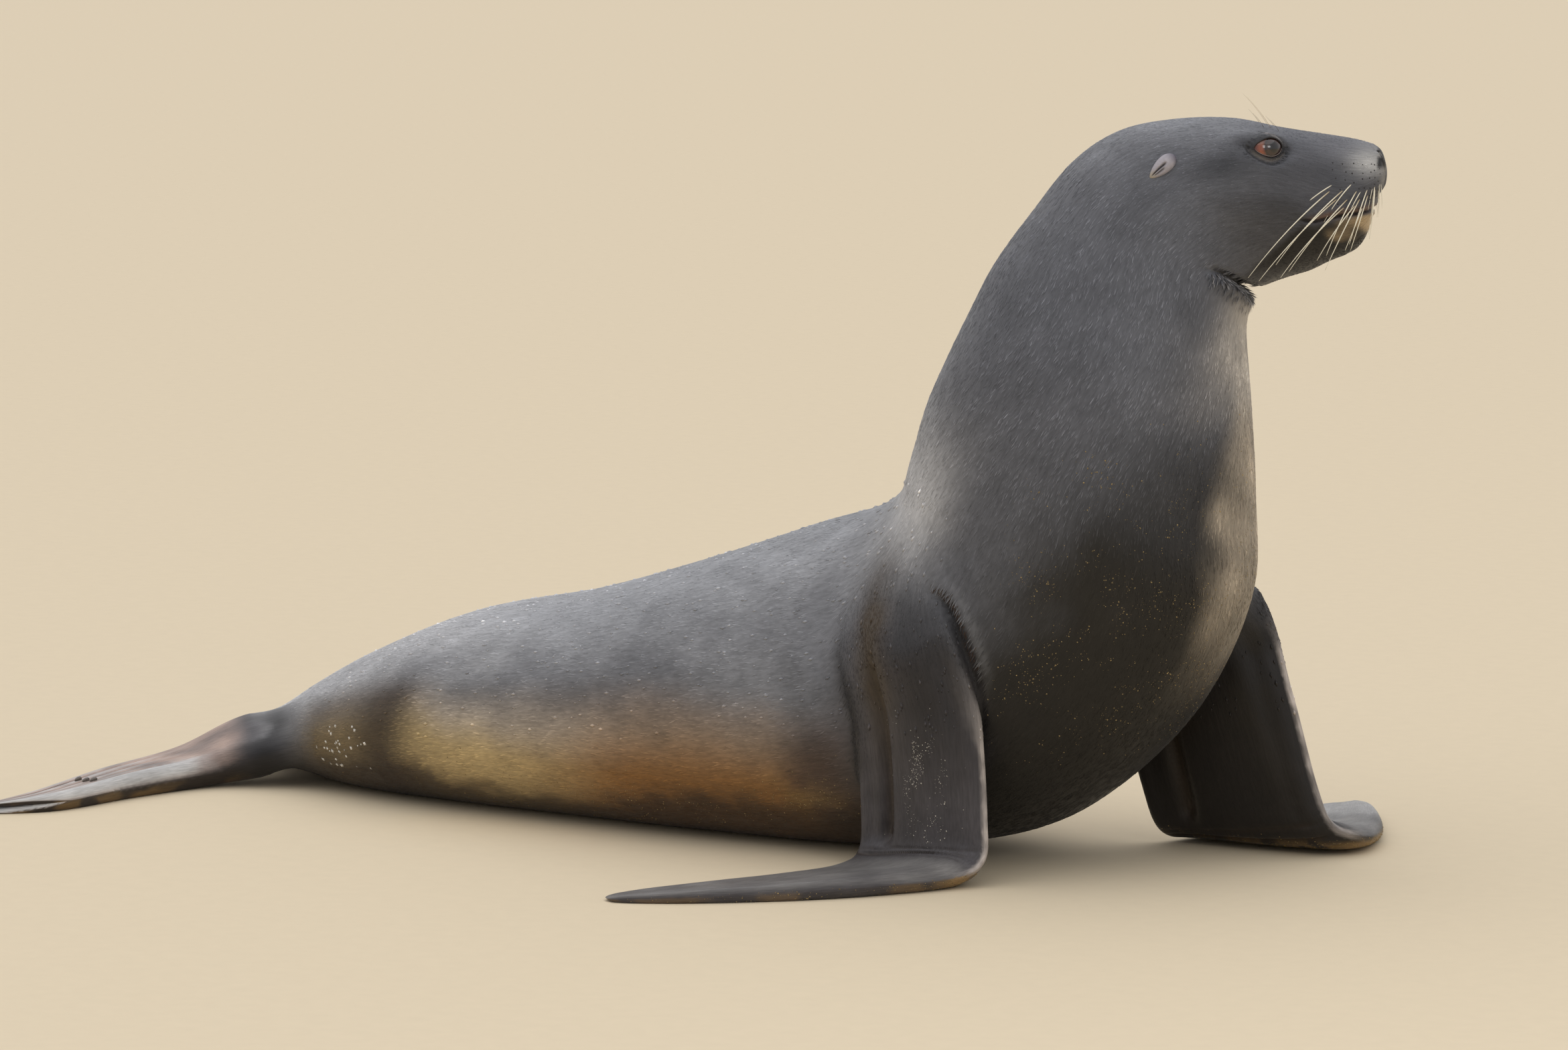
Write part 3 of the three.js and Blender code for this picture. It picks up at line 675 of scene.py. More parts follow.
def make_skin():
    """Joins the body and the flippers into one closed surface, and softens the places where
    they meet: widely over the shoulder, and hardly in the armpit."""
    shells = []
    points, triangles, u, v = shell(body_point, skin_relief, body_edge, BODY_LAST,
                                    spacing=26, around=48, rounds=7)
    shells.append((points, triangles[:, ::-1], body_fields(u, v)))
    for side in (1, -1):
        for rows, notches, fore in ((FORE_RIGHT if side > 0 else FORE_LEFT, 0, True),
                                    (HIND, HIND_DIGITS, False)):
            place = lambda p, q: flipper_point(rows, notches, side, p, q)
            relief = lambda p, q: flipper_relief(rows, notches, side, p, q)
            points, triangles, u, v = shell(place, relief, fore_edge if fore else hind_edge,
                                            len(rows) - 1, spacing=16, around=40, rounds=3)
            if side < 0:
                triangles = triangles[:, ::-1]
            shells.append((points, triangles, flipper_fields(rows, side, u, v, fore)))
    pieces = []
    for k, (points, triangles, (lie, way, bare)) in enumerate(shells):
        piece = add_mesh(f"shell_{k}", points, triangles, lie=lie, way=way, bare=bare)
        part = piece.data.attributes.new("part", "INT", "FACE")
        part.data.foreach_set("value", np.full(len(triangles), k, np.int32))
        pieces.append(piece)
    whole = pieces[0]
    for other in pieces[1:]:
        union = whole.modifiers.new(other.name, "BOOLEAN")
        union.operation = "UNION"
        union.solver = "MANIFOLD"
        union.object = other
    graph = bpy.context.evaluated_depsgraph_get()
    mesh = bpy.data.meshes.new_from_object(whole.evaluated_get(graph), depsgraph=graph)
    for piece in pieces:
        bpy.data.objects.remove(piece)
    mesh.calc_loop_triangles()
    count = len(mesh.loop_triangles)
    triangles = np.empty(3 * count, np.int32)
    mesh.loop_triangles.foreach_get("vertices", triangles)
    owner = np.empty(count, np.int32)
    mesh.loop_triangles.foreach_get("polygon_index", owner)
    part = np.empty(len(mesh.polygons), np.int32)
    mesh.attributes["part"].data.foreach_get("value", part)
    points = np.empty(3 * len(mesh.vertices), np.float32)
    mesh.vertices.foreach_get("co", points)
    points = points.reshape(-1, 3).astype(float) / MM
    triangles, part = triangles.reshape(-1, 3), part[owner]
    lie, way = take_field(mesh, "lie", 3), take_field(mesh, "way", 3)
    bare = take_field(mesh, "bare", 1)
    bpy.data.meshes.remove(mesh)
    return softened(points, triangles, part, lie, way, bare)

def softened(points, triangles, part, lie, way, bare):
    """Fairs the skin near the lines where its parts meet, over a distance that grows from the
    armpit to the top of the shoulder, and the fields over a somewhat wider band."""
    edges = edges_of(triangles)
    count = len(points)
    lowest, highest = np.full(count, 99), np.full(count, -1)
    for k in range(3):
        np.minimum.at(lowest, triangles[:, k], part)
        np.maximum.at(highest, triangles[:, k], part)
    gap = spread_from(lowest != highest, points, edges, 26)
    z = points[:, 2]
    ahead = as_on_right(points[:, 0], points[:, 1])
    start = 190 + 110 * smooth(500, 570, ahead)
    wide = 8 + 92 * smooth(start, start + 130, z)
    wide = np.where(points[:, 0] < -300, 46, wide)
    weight = smooth(1.0, 0.15, gap / wide) * (z > 0.5)
    points = fairing(points, edges, weight, 150)
    points = fairing(points, edges, np.where(weight > 0, 0.5, 0) * (z > 0.5), 3)
    cleft = smooth(525, 560, ahead) * smooth(400, 350, z) * smooth(60, 120, z)
    points = points - normals_of(points, triangles) * (9.0 * bell(gap, 8) * cleft)[:, None]
    blend = smooth(1.0, 0.1, gap / (wide + 25))
    fields = fairing(np.concatenate([way, bare[:, None]], 1), edges, blend, 60)
    way, bare = unit(fields[:, :3]), fields[:, 3]
    return points, triangles, lie, way, bare, part, gap

# ------------------------------------------------------------------ colours
def linear(hex_colour):
    """An sRGB hex colour as linear red, green and blue."""
    value = np.array([int(hex_colour[k:k + 2], 16) for k in (1, 3, 5)]) / 255
    return np.where(value <= 0.04045, value / 12.92, ((value + 0.055) / 1.055) ** 2.4)

def toned(colours, other, weight):
    """Mixes a hex colour, or another array of colours, into an array by a weight for each."""
    weight = np.clip(weight, 0, 1)[:, None]
    other = linear(other) if isinstance(other, str) else other
    return colours + (other - colours) * weight

def opaque(colours):
    """Rows of red, green and blue with an alpha of 1 added."""
    return np.concatenate([colours, np.ones((len(colours), 1))], 1)

def mottle(points, size, seed):
    """A soft random field between about -1 and 1: waves of length `size` in many directions."""
    rng = np.random.default_rng(seed)
    total = np.zeros(len(points))
    for _ in range(14):
        wave = unit(rng.normal(size=3)) * (2 * math.pi / (size * rng.uniform(0.6, 1.8)))
        total += np.sin(points @ wave + rng.uniform(0, 2 * math.pi))
    return total / 3.2

def from_back(lie):
    """The angle round the body from the middle of the back, 0 to pi on either side."""
    return np.abs(np.arctan2(lie[:, 2], lie[:, 1]))

def trunk_colours(colours, points, out, lie, part, mottles):
    """The back and the flank: grey with a painted sheen above where they face up, brown below."""
    large, middle, small = mottles
    x, _, z = points.T
    v = from_back(lie)
    trunk = smooth(520, 380, x) * smooth(470, 400, z)
    # The back takes a painted sheen where it faces up, palest over the rump.
    facing_up = smooth(0.0, 1.0, out[:, 2] + 0.03 * middle + 0.03 * large)
    colours = toned(colours, GREY_SHEEN, 0.85 * trunk * facing_up ** 2)
    colours = toned(colours, PALE_SHEEN, 0.85 * trunk * facing_up ** 1.5
                    * smooth(-60, -300, x + 40 * large))
    colours = toned(colours, GREY_SHEEN, 0.5 * facing_up * smooth(620, 480, x) * smooth(800, 650, z)
                    * (part == BODY))
    # A painted sheen on the flank behind the shoulder, and a darker patch on the haunch.
    lit = spot((x - 245) / 120, (v - 1.35) / 0.32)
    colours = toned(colours, GREY_SHEEN, 0.45 * trunk * lit)
    haunch = spot((x + 290) / 80, (v - 0.98) / 0.2)
    colours = toned(colours, SLATE, 0.5 * trunk * haunch)
    # Low on the flank the coat turns brown: ochre behind, reddish in the middle, violet in front.
    flank_v = v + 0.04 * large + 0.015 * middle
    flank = trunk * flank_line(x, flank_v, -0.25, 0.22) * (part == BODY)
    place = x + 25 * large
    tan = toned(np.tile(linear(TAN_REAR), (len(points), 1)), TAN_FRONT, smooth(-200, 120, place))
    brown = toned(np.tile(linear(OCHRE), (len(points), 1)), RED_BROWN, smooth(-190, 60, place))
    brown = toned(tan, brown, flank_line(x, flank_v, 0.06, 0.5))
    brown = toned(brown, VIOLET_BROWN, smooth(290, 380, place))
    brown = toned(brown, BELLY_DARK, (0.93 - 0.25 * smooth(-370, -470, place))
                  * smooth(-235, -365, place))
    colours = toned(colours, brown, flank)
    # Low towards the belly the coat darkens further: its own dark underside, deepened by painted shade where
    # the body curves under towards the floor.
    lower = 0.3 * smooth(150, -60, x)
    dark = flank_line(x, v + 0.05 * small + 0.04 * middle - lower, 0.36, 0.72) * trunk * (part == BODY)
    colours = toned(colours, BELLY_DARK, 0.85 * dark)
    gold = spot((x - 320) / 60, (v - 2.15 - 0.002 * (x - 320)) / 0.16) * trunk
    return toned(colours, BELLY_GOLD, 0.4 * gold * (part == BODY) * smooth(-0.2, 0.9, small + middle))

def chest_colours(colours, points, out, lie, mottles):
    """The chest darkens downwards, its pale band, partly a painted sheen, runs up into the throat, and the
    crown, nape and shoulder take a painted sheen."""
    large, middle, _ = mottles
    x, _, z = points.T
    v = from_back(lie)
    head = smooth(720, 800, z)
    front = smooth(440, 540, x) * (1 - head)
    colours = toned(colours, CHEST_DARK, 0.95 * front * smooth(640, 430, z + 30 * large)
                    * smooth(1.38, 2.2, v + 0.1 * middle + 0.0012 * (400 - z)))
    # The chest's pale band lies lower down on the left of its middle only: partly damp sand, partly a
    # painted sheen along the chest's edge.
    across = np.where(lie[:, 2] < 0, v, 2 * math.pi - v) + 0.03 * middle
    band = smooth(2.74, 3.1, across) * smooth(4.1, 3.6, across) * smooth(200, 400, z)
    upper = smooth(560, 670, z)
    colours = toned(colours, THROAT_LOW, 0.78 * band * (1 - upper) * (1 - head) * (1 + 0.15 * middle))
    # The throat's paler hair, brightened by a painted sheen along the neck's front edge.
    throat = bell(v - 3.05, 0.54) * upper * smooth(765, 700, z)
    colours = toned(colours, THROAT, 0.8 * throat * (1 + 0.2 * middle))
    # Painted sheen on the crown and nape where they face up, and on the top of the shoulder.
    colours = toned(colours, GREY_SHEEN, 0.38 * smooth(0.35, 1.0, out[:, 2]) * smooth(700, 820, z)
                    * smooth(900, 800, unturned_head(points)[:, 0]))
    return toned(colours, PALE_SHEEN, 0.7 * spot((x - 470) / 90, (z - 480) / 90)
                 * smooth(1.5, 1.0, v))

def face_colours(colours, points, out, mottles):
    """The head: dark mask round the eye and along the cheek, paler bridge, tan chin, black nose and dark
    lids, with painted shade round the eye sockets, in the hollow behind each eye, in the lips' groove and
    over the dark jaw under the mouth."""
    _, middle, small = mottles
    hx, _, hz = unturned_head(points).T
    head = smooth(720, 800, hz)
    from_lips = hz - mouth_height(hx)
    colours = toned(colours, MASK, 0.8 * head * smooth(760, 860, hx) * smooth(940, 900, hz))
    # Painted shade in the hollow behind the eye.
    hollow = spot((hx - 806) / 44, (hz - 908 - 0.2 * (hx - 806)) / 20)
    colours = toned(colours, DEEP_MASK_AND_SHADE, 0.6 * head * hollow * (1 + 0.3 * middle))
    pouch = spot((hx - 868) / 34, (hz - 856) / 18)
    colours = toned(colours, DEEP_MASK_AND_SHADE, 0.5 * head * pouch)
    colours = toned(colours, BRIDGE, 0.7 * head * smooth(890, 960, hx) * smooth(900, 932, hz))
    colours = toned(colours, MUZZLE_TIP, 0.85 * head * spot((hx - 992) / 27, (hz - 910) / 17))
    colours = toned(colours, MASK, 0.5 * head * spot((hx - 945) / 26, (hz - 934) / 9))
    chin = head * smooth(0, -7, from_lips) * smooth(925, 985, hx + 6 * small)
    # The lower jaw goes near black: its own dark coat, deepened by painted shade under the mouth.
    under = from_lips + 0.9 * np.maximum(900 - hx, 0)
    colours = toned(colours, JAW, 0.95 * head * smooth(1, -14, under) * smooth(770, 830, hx))
    colours = toned(colours, CHIN, 0.9 * chin * smooth(808, 830, hz + 5 * small))
    lips = head * bell(from_lips - 3.5, 5) * smooth(900, 930, hx)
    colours = toned(colours, LIP, 0.75 * lips)
    # Painted shade in the groove between the lips.
    colours = toned(colours, MOUTH_DARK, head * bell(from_lips, 2.2) * smooth(893, 903, hx))
    nose = smooth(0.45, 0.7, unturned_way(out)[:, 0]) * smooth(896, 905, hz) * smooth(984, 994, hx)
    colours = toned(colours, NOSE_BLACK_AND_SHADE, head * nose)
    for side in (1, -1):
        centre, rear, up, gaze = eye_frame(side)
        offset = unturned_head(points) - centre
        a, b = offset @ rear, offset @ up
        outside = lid_distance(a, b)
        here = head * (offset @ gaze > 0)
        # Painted shade round the socket, most above and behind the eye, and in the crease under the lower
        # lid.
        colours = toned(colours, EYELID_AND_SHADE, 0.85 * here * smooth(16, 1, outside) * smooth(-14, 8, b + 0.5 * a))
        colours = toned(colours, EYELID_AND_SHADE, 0.7 * here * bell(outside - 8, 2.2) * smooth(4, -4, b))
        grey = np.maximum(smooth(2, -5, b), smooth(2, 8, b) * smooth(-2, -10, a))
        colours = toned(colours, LID_GREY, 0.8 * here * bell(outside - 3.6, 2.0) * grey)
        colours = toned(colours, EYELID_AND_SHADE, here * smooth(1.6, 0.4, outside))
        colours = toned(colours, EYELID_AND_SHADE, here * bell(np.hypot(a + 26, b + 1), 6))
        # More painted shade in the hollow behind and above the eye.
        colours = toned(colours, EYELID_AND_SHADE, 0.55 * here * spot((a - 31) / 15, (b - 8) / 9))
    return colours

def fold_colours(colours, points, out, part, seam, mottles):
    """What lies over the lines where the flippers leave the body: the dark ankle, deepened by painted shade
    where it meets the rump, a brown streak behind each shoulder, and painted shade in the armpit's fold with
    a painted highlight along its edge."""
    _, middle, _ = mottles
    x, y, z = points.T
    # The ankle's own dark skin, deepened by painted shade where rump and flipper meet, less on faces that
    # look up.
    ankle = bell(x + 622 + 0.2 * (y + 120), 52) * smooth(135, 90, z) * (np.abs(y) > 70)
    colours = toned(colours, NOSE_BLACK_AND_SHADE, 0.92 * ankle * smooth(1.0, 0.75, out[:, 2] + 0.1 * middle))
    beside = x - FAR_SHIFT * (y > 0) * smooth(300, 420, x)
    streak = bell(beside - 447 + 0.12 * (z - 300), 30) * smooth(130, 240, z) * smooth(450, 350, z)
    colours = toned(colours, STREAK, 0.85 * streak * (1 + 0.3 * middle) * (np.abs(y) > 100))
    ahead = as_on_right(x, y)
    cleft = np.maximum(smooth(520, 560, ahead) * smooth(400, 350, z), smooth(320, 230, z))
    # A painted highlight along the edge of the armpit's fold.
    beside = bell(seam - 24, 9) * smooth(520, 560, ahead) * smooth(420, 340, z) * smooth(240, 300, z)
    colours = toned(colours, GREY_SHEEN, 0.2 * beside * (part == BODY))
    # Painted shade in the fold where the fore flippers leave the chest.
    fold = smooth(-300, 300, x) * bell(seam, 11) * cleft
    return toned(colours, NOSE_BLACK_AND_SHADE, 0.85 * fold)

def coat_colours(points, out, lie, bare, part, seam, edges):
    """The animal's markings at points of its skin, with painted sheen and painted shade among them,
    the same for skin and coat. seam is the distance to the line where a flipper leaves the body: colours run
    into each other there."""
    mottles = [mottle(points, size, SEED + k) for k, size in enumerate(MOTTLE_SIZES)]
    colours = np.tile(linear(SLATE), (len(points), 1))
    colours = trunk_colours(colours, points, out, lie, part, mottles)
    colours = chest_colours(colours, points, out, lie, mottles)
    colours = face_colours(colours, points, out, mottles)
    colours = flipper_colours(colours, points, out, lie, bare, part, mottles)
    colours = fairing(colours, edges, 0.9 * smooth(55, 10, seam), 40)
    colours = fold_colours(colours, points, out, part, seam, mottles)
    _, middle, small = mottles
    return np.clip(colours * (1 + 0.05 * small[:, None] + 0.05 * middle[:, None]), 0.001, 1)

def sand_crust(points, out, row, across):
    """Where sand cakes a fore flipper: low on the heel under the right one's leading edge, and
    along the front of the left one's palm."""
    low = smooth(24, 12, points[:, 2]) * smooth(0.45, 0.0, out[:, 2])
    left = points[:, 1] > 0
    heel = bell(row - 4.7, 0.6) * smooth(0.5, 0.3, across)
    palm = bell(row - 5.4, 1.1) * smooth(0.5, 0.3, across)
    return low * np.where(left, palm, heel)

def flank_line(x, v, low, high):
    """0 above the line where the flank's grey ends and 1 below it: the line lies lower towards
    the flippers."""
    line = np.interp(x, (-520, -340, -250, -40, 130, 250, 350), (1.12, 1.1, 1.4, 1.48, 1.5, 1.6, 1.7))
    return smooth(low, high, v - line)

def flipper_colours(colours, points, out, lie, bare, part, mottles):
    """Bare skin on the flippers: slate with a painted highlight along the leading rim, a painted sheen where
    the toes face up and painted shade in the grooves, the far one darker with wet skin and painted shade; on
    the hind ones a painted sheen along the leading roll before a lilac web, with painted shade between the
    toes and underneath."""
    _, middle, small = mottles
    z = points[:, 2]
    bare = smooth(0.1, 0.8, bare + 0.08 * middle)
    across = np.clip(lie[:, 1] / ACROSS_SIZE, 0, 1)
    fore = (part == RIGHT_FORE) | (part == LEFT_FORE)
    row = (FORE_START - lie[:, 0]) / FORE_ROW
    colours = toned(colours, FLIPPER, bare)
    # The far fore flipper is darker: wet skin, and painted shade under the chest.
    colours = toned(colours, WET_SKIN_AND_SHADE, 0.9 * bare * (part == LEFT_FORE) * smooth(7.4, 6.2, row))
    limb = fore * smooth(0.5, 1.6, row)
    # Both upper limbs are darker along their front: wet skin, and painted shade near the armpit's crease.
    colours = toned(colours, WET_SKIN_AND_SHADE, 0.7 * fore * smooth(0.1, 0.8, row) * smooth(2.9, 1.8, row)
                    * smooth(0.75, 0.3, across))
    # Painted shade in the groove before the trailing lobe.
    colours = toned(colours, GROOVE, 0.85 * limb * bell(across - groove_across(row), 0.05)
                    * smooth(4.0, 3.4, row))
    # Painted shade in the wrist's creases, as dark as each is deep.
    for line, tilt, depth in FORE_CREASES:
        colours = toned(colours, GROOVE, 0.16 * depth * limb * bell(row - line - tilt * across, 0.07)
                        * smooth(0.04, 0.12, across))
    # The toes turn greyer where they face up: a painted sheen.
    colours = toned(colours, TOE_GREY, 0.8 * limb * smooth(4.2, 5.0, row) * smooth(0.1, 0.9, out[:, 2])
                    * (1 + 0.15 * middle))
    # A painted highlight along the leading rim.
    rim = limb * smooth(0.02, 0.004, across) * smooth(0.9, 1.9, row) * smooth(5.2, 4.2, row)
    colours = toned(colours, RIM_HIGHLIGHT, 0.6 * rim * (1 + 0.3 * small))
    # A painted sheen on the far fore flipper's wet tip, where it faces up.
    tip_sheen = (part == LEFT_FORE) * smooth(6.4, 7.6, row) * smooth(-0.2, 0.5, out[:, 2])
    colours = toned(colours, WET_SHEEN, 0.5 * tip_sheen)
    on_hind = (part == RIGHT_HIND) | (part == LEFT_HIND)
    toe = (HIND_START - lie[:, 0]) / HIND_ROW
    hind = on_hind * bare * smooth(0.9, 1.5, toe)
    lit = smooth(-0.1, 0.5, out[:, 2])
    colours = toned(colours, HIND_WEB, 0.9 * hind * lit * (0.9 + 0.3 * middle))
    gaps = np.abs(np.sin(np.pi * HIND_DIGITS * across)) ** 0.5
    # Painted sheen on the toes' ridges, and on the leading roll, on upward faces only.
    ridges = hind * lit * smooth(0.7, 1.0, gaps) * smooth(1.8, 3.2, toe)
    colours = toned(colours, WET_SHEEN, 0.6 * ridges * (1 + 0.2 * small))
    roll = smooth(0.26, 0.17, across) * smooth(1.35, 2.5, toe + 0.3 * middle + 0.15 * small)
    colours = toned(colours, WET_SHEEN, hind * lit * roll)
    # Painted shade in the groove behind the roll, between the toes and on the undersides.
    colours = toned(colours, HIND_SHADE, 0.6 * hind * lit * bell(across - 0.3, 0.035) * smooth(2.0, 2.8, toe))
    colours = toned(colours, HIND_SHADE, 0.85 * hind * smooth(0.7, 0.3, gaps) * smooth(2.6, 3.8, toe)
                    * (across > 0.08))
    colours = toned(colours, HIND_SHADE, 0.9 * hind * smooth(0.25, -0.25, out[:, 2]))
    # Damp sand sticks along the soles' edges.
    sole = smooth(22, 7, z + 5 * small) * smooth(-0.1, 0.5, middle + 0.4 * small)
    colours = toned(colours, SAND, 0.22 * sole * fore * smooth(3.4, 4.2, row)
                    * smooth(0.3, -0.2, out[:, 2]))
    colours = toned(colours, SAND, 0.75 * fore * sand_crust(points, out, row, across)
                    * smooth(-0.9, 0.3, small + 0.5 * middle))
    return toned(colours, SAND, 0.35 * sole * hind * smooth(0.2, -0.3, out[:, 2]))

# ------------------------------------------------------------------ materials
def new_material(name):
    """An empty node material and its tree."""
    material = bpy.data.materials.new(name)
    material.use_nodes = True
    material.node_tree.nodes.clear()
    return material, material.node_tree

def node(tree, kind, links=None, **settings):
    """Adds a node; settings name its properties or its inputs, and links feed its inputs."""
    made = tree.nodes.new(kind)
    for key, value in settings.items():
        if hasattr(made, key):
            setattr(made, key, value)
        else:
            made.inputs[key.replace("_", " ")].default_value = value
    for key, source in (links or {}).items():
        tree.links.new(source, made.inputs[key])
    return made

def rgba(hex_colour):
    """An sRGB hex colour as a colour socket takes it."""
    return (*linear(hex_colour), 1)

HAIR_DASHES = (60, 330, 330)        # to the metre: marks of about 15 by 3 mm
HAIR_STREAKS = (9, 34, 34)          # to the metre: streaks of about 110 by 30 mm
WET_IOR = 1.38                      # hair and eyes under a film of water
PAINTED = "coat"                    # the attribute that holds a piece's own colours

def coat_material(name, roughness, grain_depth):
    """Short sea-lion coat: guard hairs lying flat under a film of water. It gives a soft grey
    sheen in streaks along the lie of the hair, and a fine grain of dashes."""
    material, tree = new_material(name)
    colour = node(tree, "ShaderNodeAttribute", attribute_name=PAINTED)
    lie = node(tree, "ShaderNodeAttribute", attribute_name="lie")
    dash = node(tree, "ShaderNodeMapping", {"Vector": lie.outputs["Vector"]},
                Scale=HAIR_DASHES)
    grain = node(tree, "ShaderNodeTexNoise", {"Vector": dash.outputs[0]}, Scale=1.0, Detail=2.0,
                 Roughness=0.55)
    wide = node(tree, "ShaderNodeMapping", {"Vector": lie.outputs["Vector"]}, Scale=HAIR_STREAKS)
    streaks = node(tree, "ShaderNodeTexNoise", {"Vector": wide.outputs[0]}, Scale=1.0, Detail=3.0)
    tone = node(tree, "ShaderNodeMapRange", {"Value": grain.outputs["Fac"]},
                From_Min=0.25, From_Max=0.75, To_Min=0.78, To_Max=1.25)
    shade = node(tree, "ShaderNodeMix", {6: colour.outputs["Color"], 7: tone.outputs[0]},
                 data_type="RGBA", blend_type="MULTIPLY", Factor=1.0)
    gloss = node(tree, "ShaderNodeMapRange", {"Value": streaks.outputs["Fac"]},
                 From_Min=0.3, From_Max=0.7, To_Min=roughness - 0.07, To_Max=roughness + 0.09)
    bump = node(tree, "ShaderNodeBump", {"Height": grain.outputs["Fac"]}, Distance=grain_depth * MM,
                Strength=0.8)
    shader = node(tree, "ShaderNodeBsdfPrincipled",
                  {"Base Color": shade.outputs[2], "Roughness": gloss.outputs[0],
                   "Normal": bump.outputs[0]},
                  IOR=WET_IOR, Sheen_Weight=0.05, Sheen_Roughness=0.45)
    node(tree, "ShaderNodeOutputMaterial", {"Surface": shader.outputs[0]})
    return material

def plain_material(name, colour, roughness, grain, bump_depth=0.0, film=0.0, ior=1.5,
                   spread=0.12):
    """A surface of one colour, or PAINTED, with noise of `grain` patches to the metre in its
    tone, by spread, and in its height, by bump_depth millimetres; film is the wetness on it."""
    material, tree = new_material(name)
    place = node(tree, "ShaderNodeTexCoord").outputs["Object"]
    noise = node(tree, "ShaderNodeTexNoise", {"Vector": place}, Scale=grain, Detail=3.0)
    tone = node(tree, "ShaderNodeMapRange", {"Value": noise.outputs["Fac"]},
                From_Min=0.25, From_Max=0.75, To_Min=1 - spread, To_Max=1 + spread)
    shade = node(tree, "ShaderNodeMix", {7: tone.outputs[0]}, data_type="RGBA",
                 blend_type="MULTIPLY", Factor=1.0)
    if colour == PAINTED:
        paint = node(tree, "ShaderNodeAttribute", attribute_name=PAINTED)
        tree.links.new(paint.outputs["Color"], shade.inputs[6])
    else:
        shade.inputs[6].default_value = rgba(colour)
    links = {"Base Color": shade.outputs[2]}
    if bump_depth:
        bump = node(tree, "ShaderNodeBump", {"Height": noise.outputs["Fac"]},
                    Distance=bump_depth * MM, Strength=0.8)
        links["Normal"] = bump.outputs[0]
    shader = node(tree, "ShaderNodeBsdfPrincipled", links, Roughness=roughness, IOR=ior,
                  Coat_Weight=film, Coat_Roughness=0.03)
    node(tree, "ShaderNodeOutputMaterial", {"Surface": shader.outputs[0]})
    return material

# ------------------------------------------------------------------ coat
def scattered(count, weight, triangles, rng):
    """Random places on triangles, as likely as their weight: which triangle, and its corners'
    shares."""
    chosen = rng.choice(len(triangles), size=count, p=weight / weight.sum())
    r1, r2 = np.sqrt(rng.random(count)), rng.random(count)
    return chosen, np.stack([1 - r1, r1 * (1 - r2), r1 * r2], 1)

def shared(values, triangles, chosen, shares):
    """A field at scattered places, from the corners of their triangles."""
    corners = values[triangles[chosen]]
    if values.ndim == 1:
        return (corners * shares).sum(1)
    return (corners * shares[..., None]).sum(1)

PATCH = 0.003                       # of the unwrap: how wide a tuft's own patch is

def add_tufts(name, root, out, way, length, width, lift, colour, lie, material, slot, rng,
              tips=1.6, spread=0.12, ridge=0.25, tone_spread=0.12):
    """Tufts as one mesh. Each is a closed blade lying in the coat: a three-sided ring sunk at the root,
    another half way along of which only the ridge stands proud, and a tip raised by lift and lighter by
    tips: partly paler hair tips, partly a painted highlight where the tips catch the light."""
    count = len(root)
    out = unit(out)
    way = unit(way - out * (way * out).sum(1, keepdims=True))
    side = np.cross(out, way)
    yaw = rng.normal(0, spread, (count, 1))
    way, side = way * np.cos(yaw) + side * np.sin(yaw), side * np.cos(yaw) - way * np.sin(yaw)
    length, width, lift, ridge = (np.broadcast_to(k, count)[:, None]
                                  for k in (length, width, lift, ridge))
    middle = root + way * length * 0.5 + out * lift * 0.4
    ring = np.stack([
        root - side * width * 0.3 - out * 0.9, root + side * width * 0.3 - out * 0.9,
        root - out * 0.3,
        middle - side * width * 0.5 - out * 0.3, middle + side * width * 0.5 - out * 0.3,
        middle + out * ridge,
        root + way * length + out * lift], 1)
    faces = np.array([(0, 1, 3), (1, 4, 3), (1, 2, 4), (2, 5, 4), (2, 0, 5), (0, 3, 5),
                      (3, 4, 6), (4, 5, 6), (5, 3, 6), (0, 2, 1)])
    each = ring.shape[1]
    triangles = (faces[None] + each * np.arange(count)[:, None, None]).reshape(-1, 3)
    tone = np.exp(rng.normal(0, tone_spread, (count, 1, 1)))
    fade = np.array([1.0, 1.0, 1.0, 1.0, 1.0, 1.0 + 0.3 * (tips - 1), tips])[None, :, None]
    paint = opaque(np.clip(colour[:, None, :] * tone * fade, 0, 1).reshape(-1, 3))
    piece = add_mesh(name, ring.reshape(-1, 3), triangles, coat=paint,
                     lie=np.repeat(lie, each, axis=0))
    # Flat-lying hair takes the light as the skin under it does.
    piece.data.normals_split_custom_set_from_vertices(np.repeat(out, each, axis=0))
    # The bake map: each tuft is a small patch at its root's place on the skin's own unwrap.
    place = np.stack([lie[:, 0], np.arctan2(lie[:, 2], lie[:, 1])], 1)
    low, high = place.min(0), place.max(0)
    place = 0.01 + 0.975 * (place - low) / np.maximum(high - low, 1e-6)
    patch = PATCH * np.array([(0, 0), (1, 0), (.5, .2), (0, .5), (1, .5), (.5, .6), (.5, 1)])
    spots = (place[:, None] + patch).reshape(-1, 2)
    layer = piece.data.uv_layers.new(name="OFBake")
    layer.data.foreach_set("uv", np.asarray(spots[triangles.ravel()], np.float32).ravel())
    finish_piece(piece, material, slot)

def finish_piece(piece, material, slot, *replaced):
    """Gives a piece its material and lets it ride on the animal; slot is not used."""
    piece.data.materials.clear()
    piece.data.materials.append(material)
    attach(piece, "root")
    if replaced:
        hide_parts(*replaced)

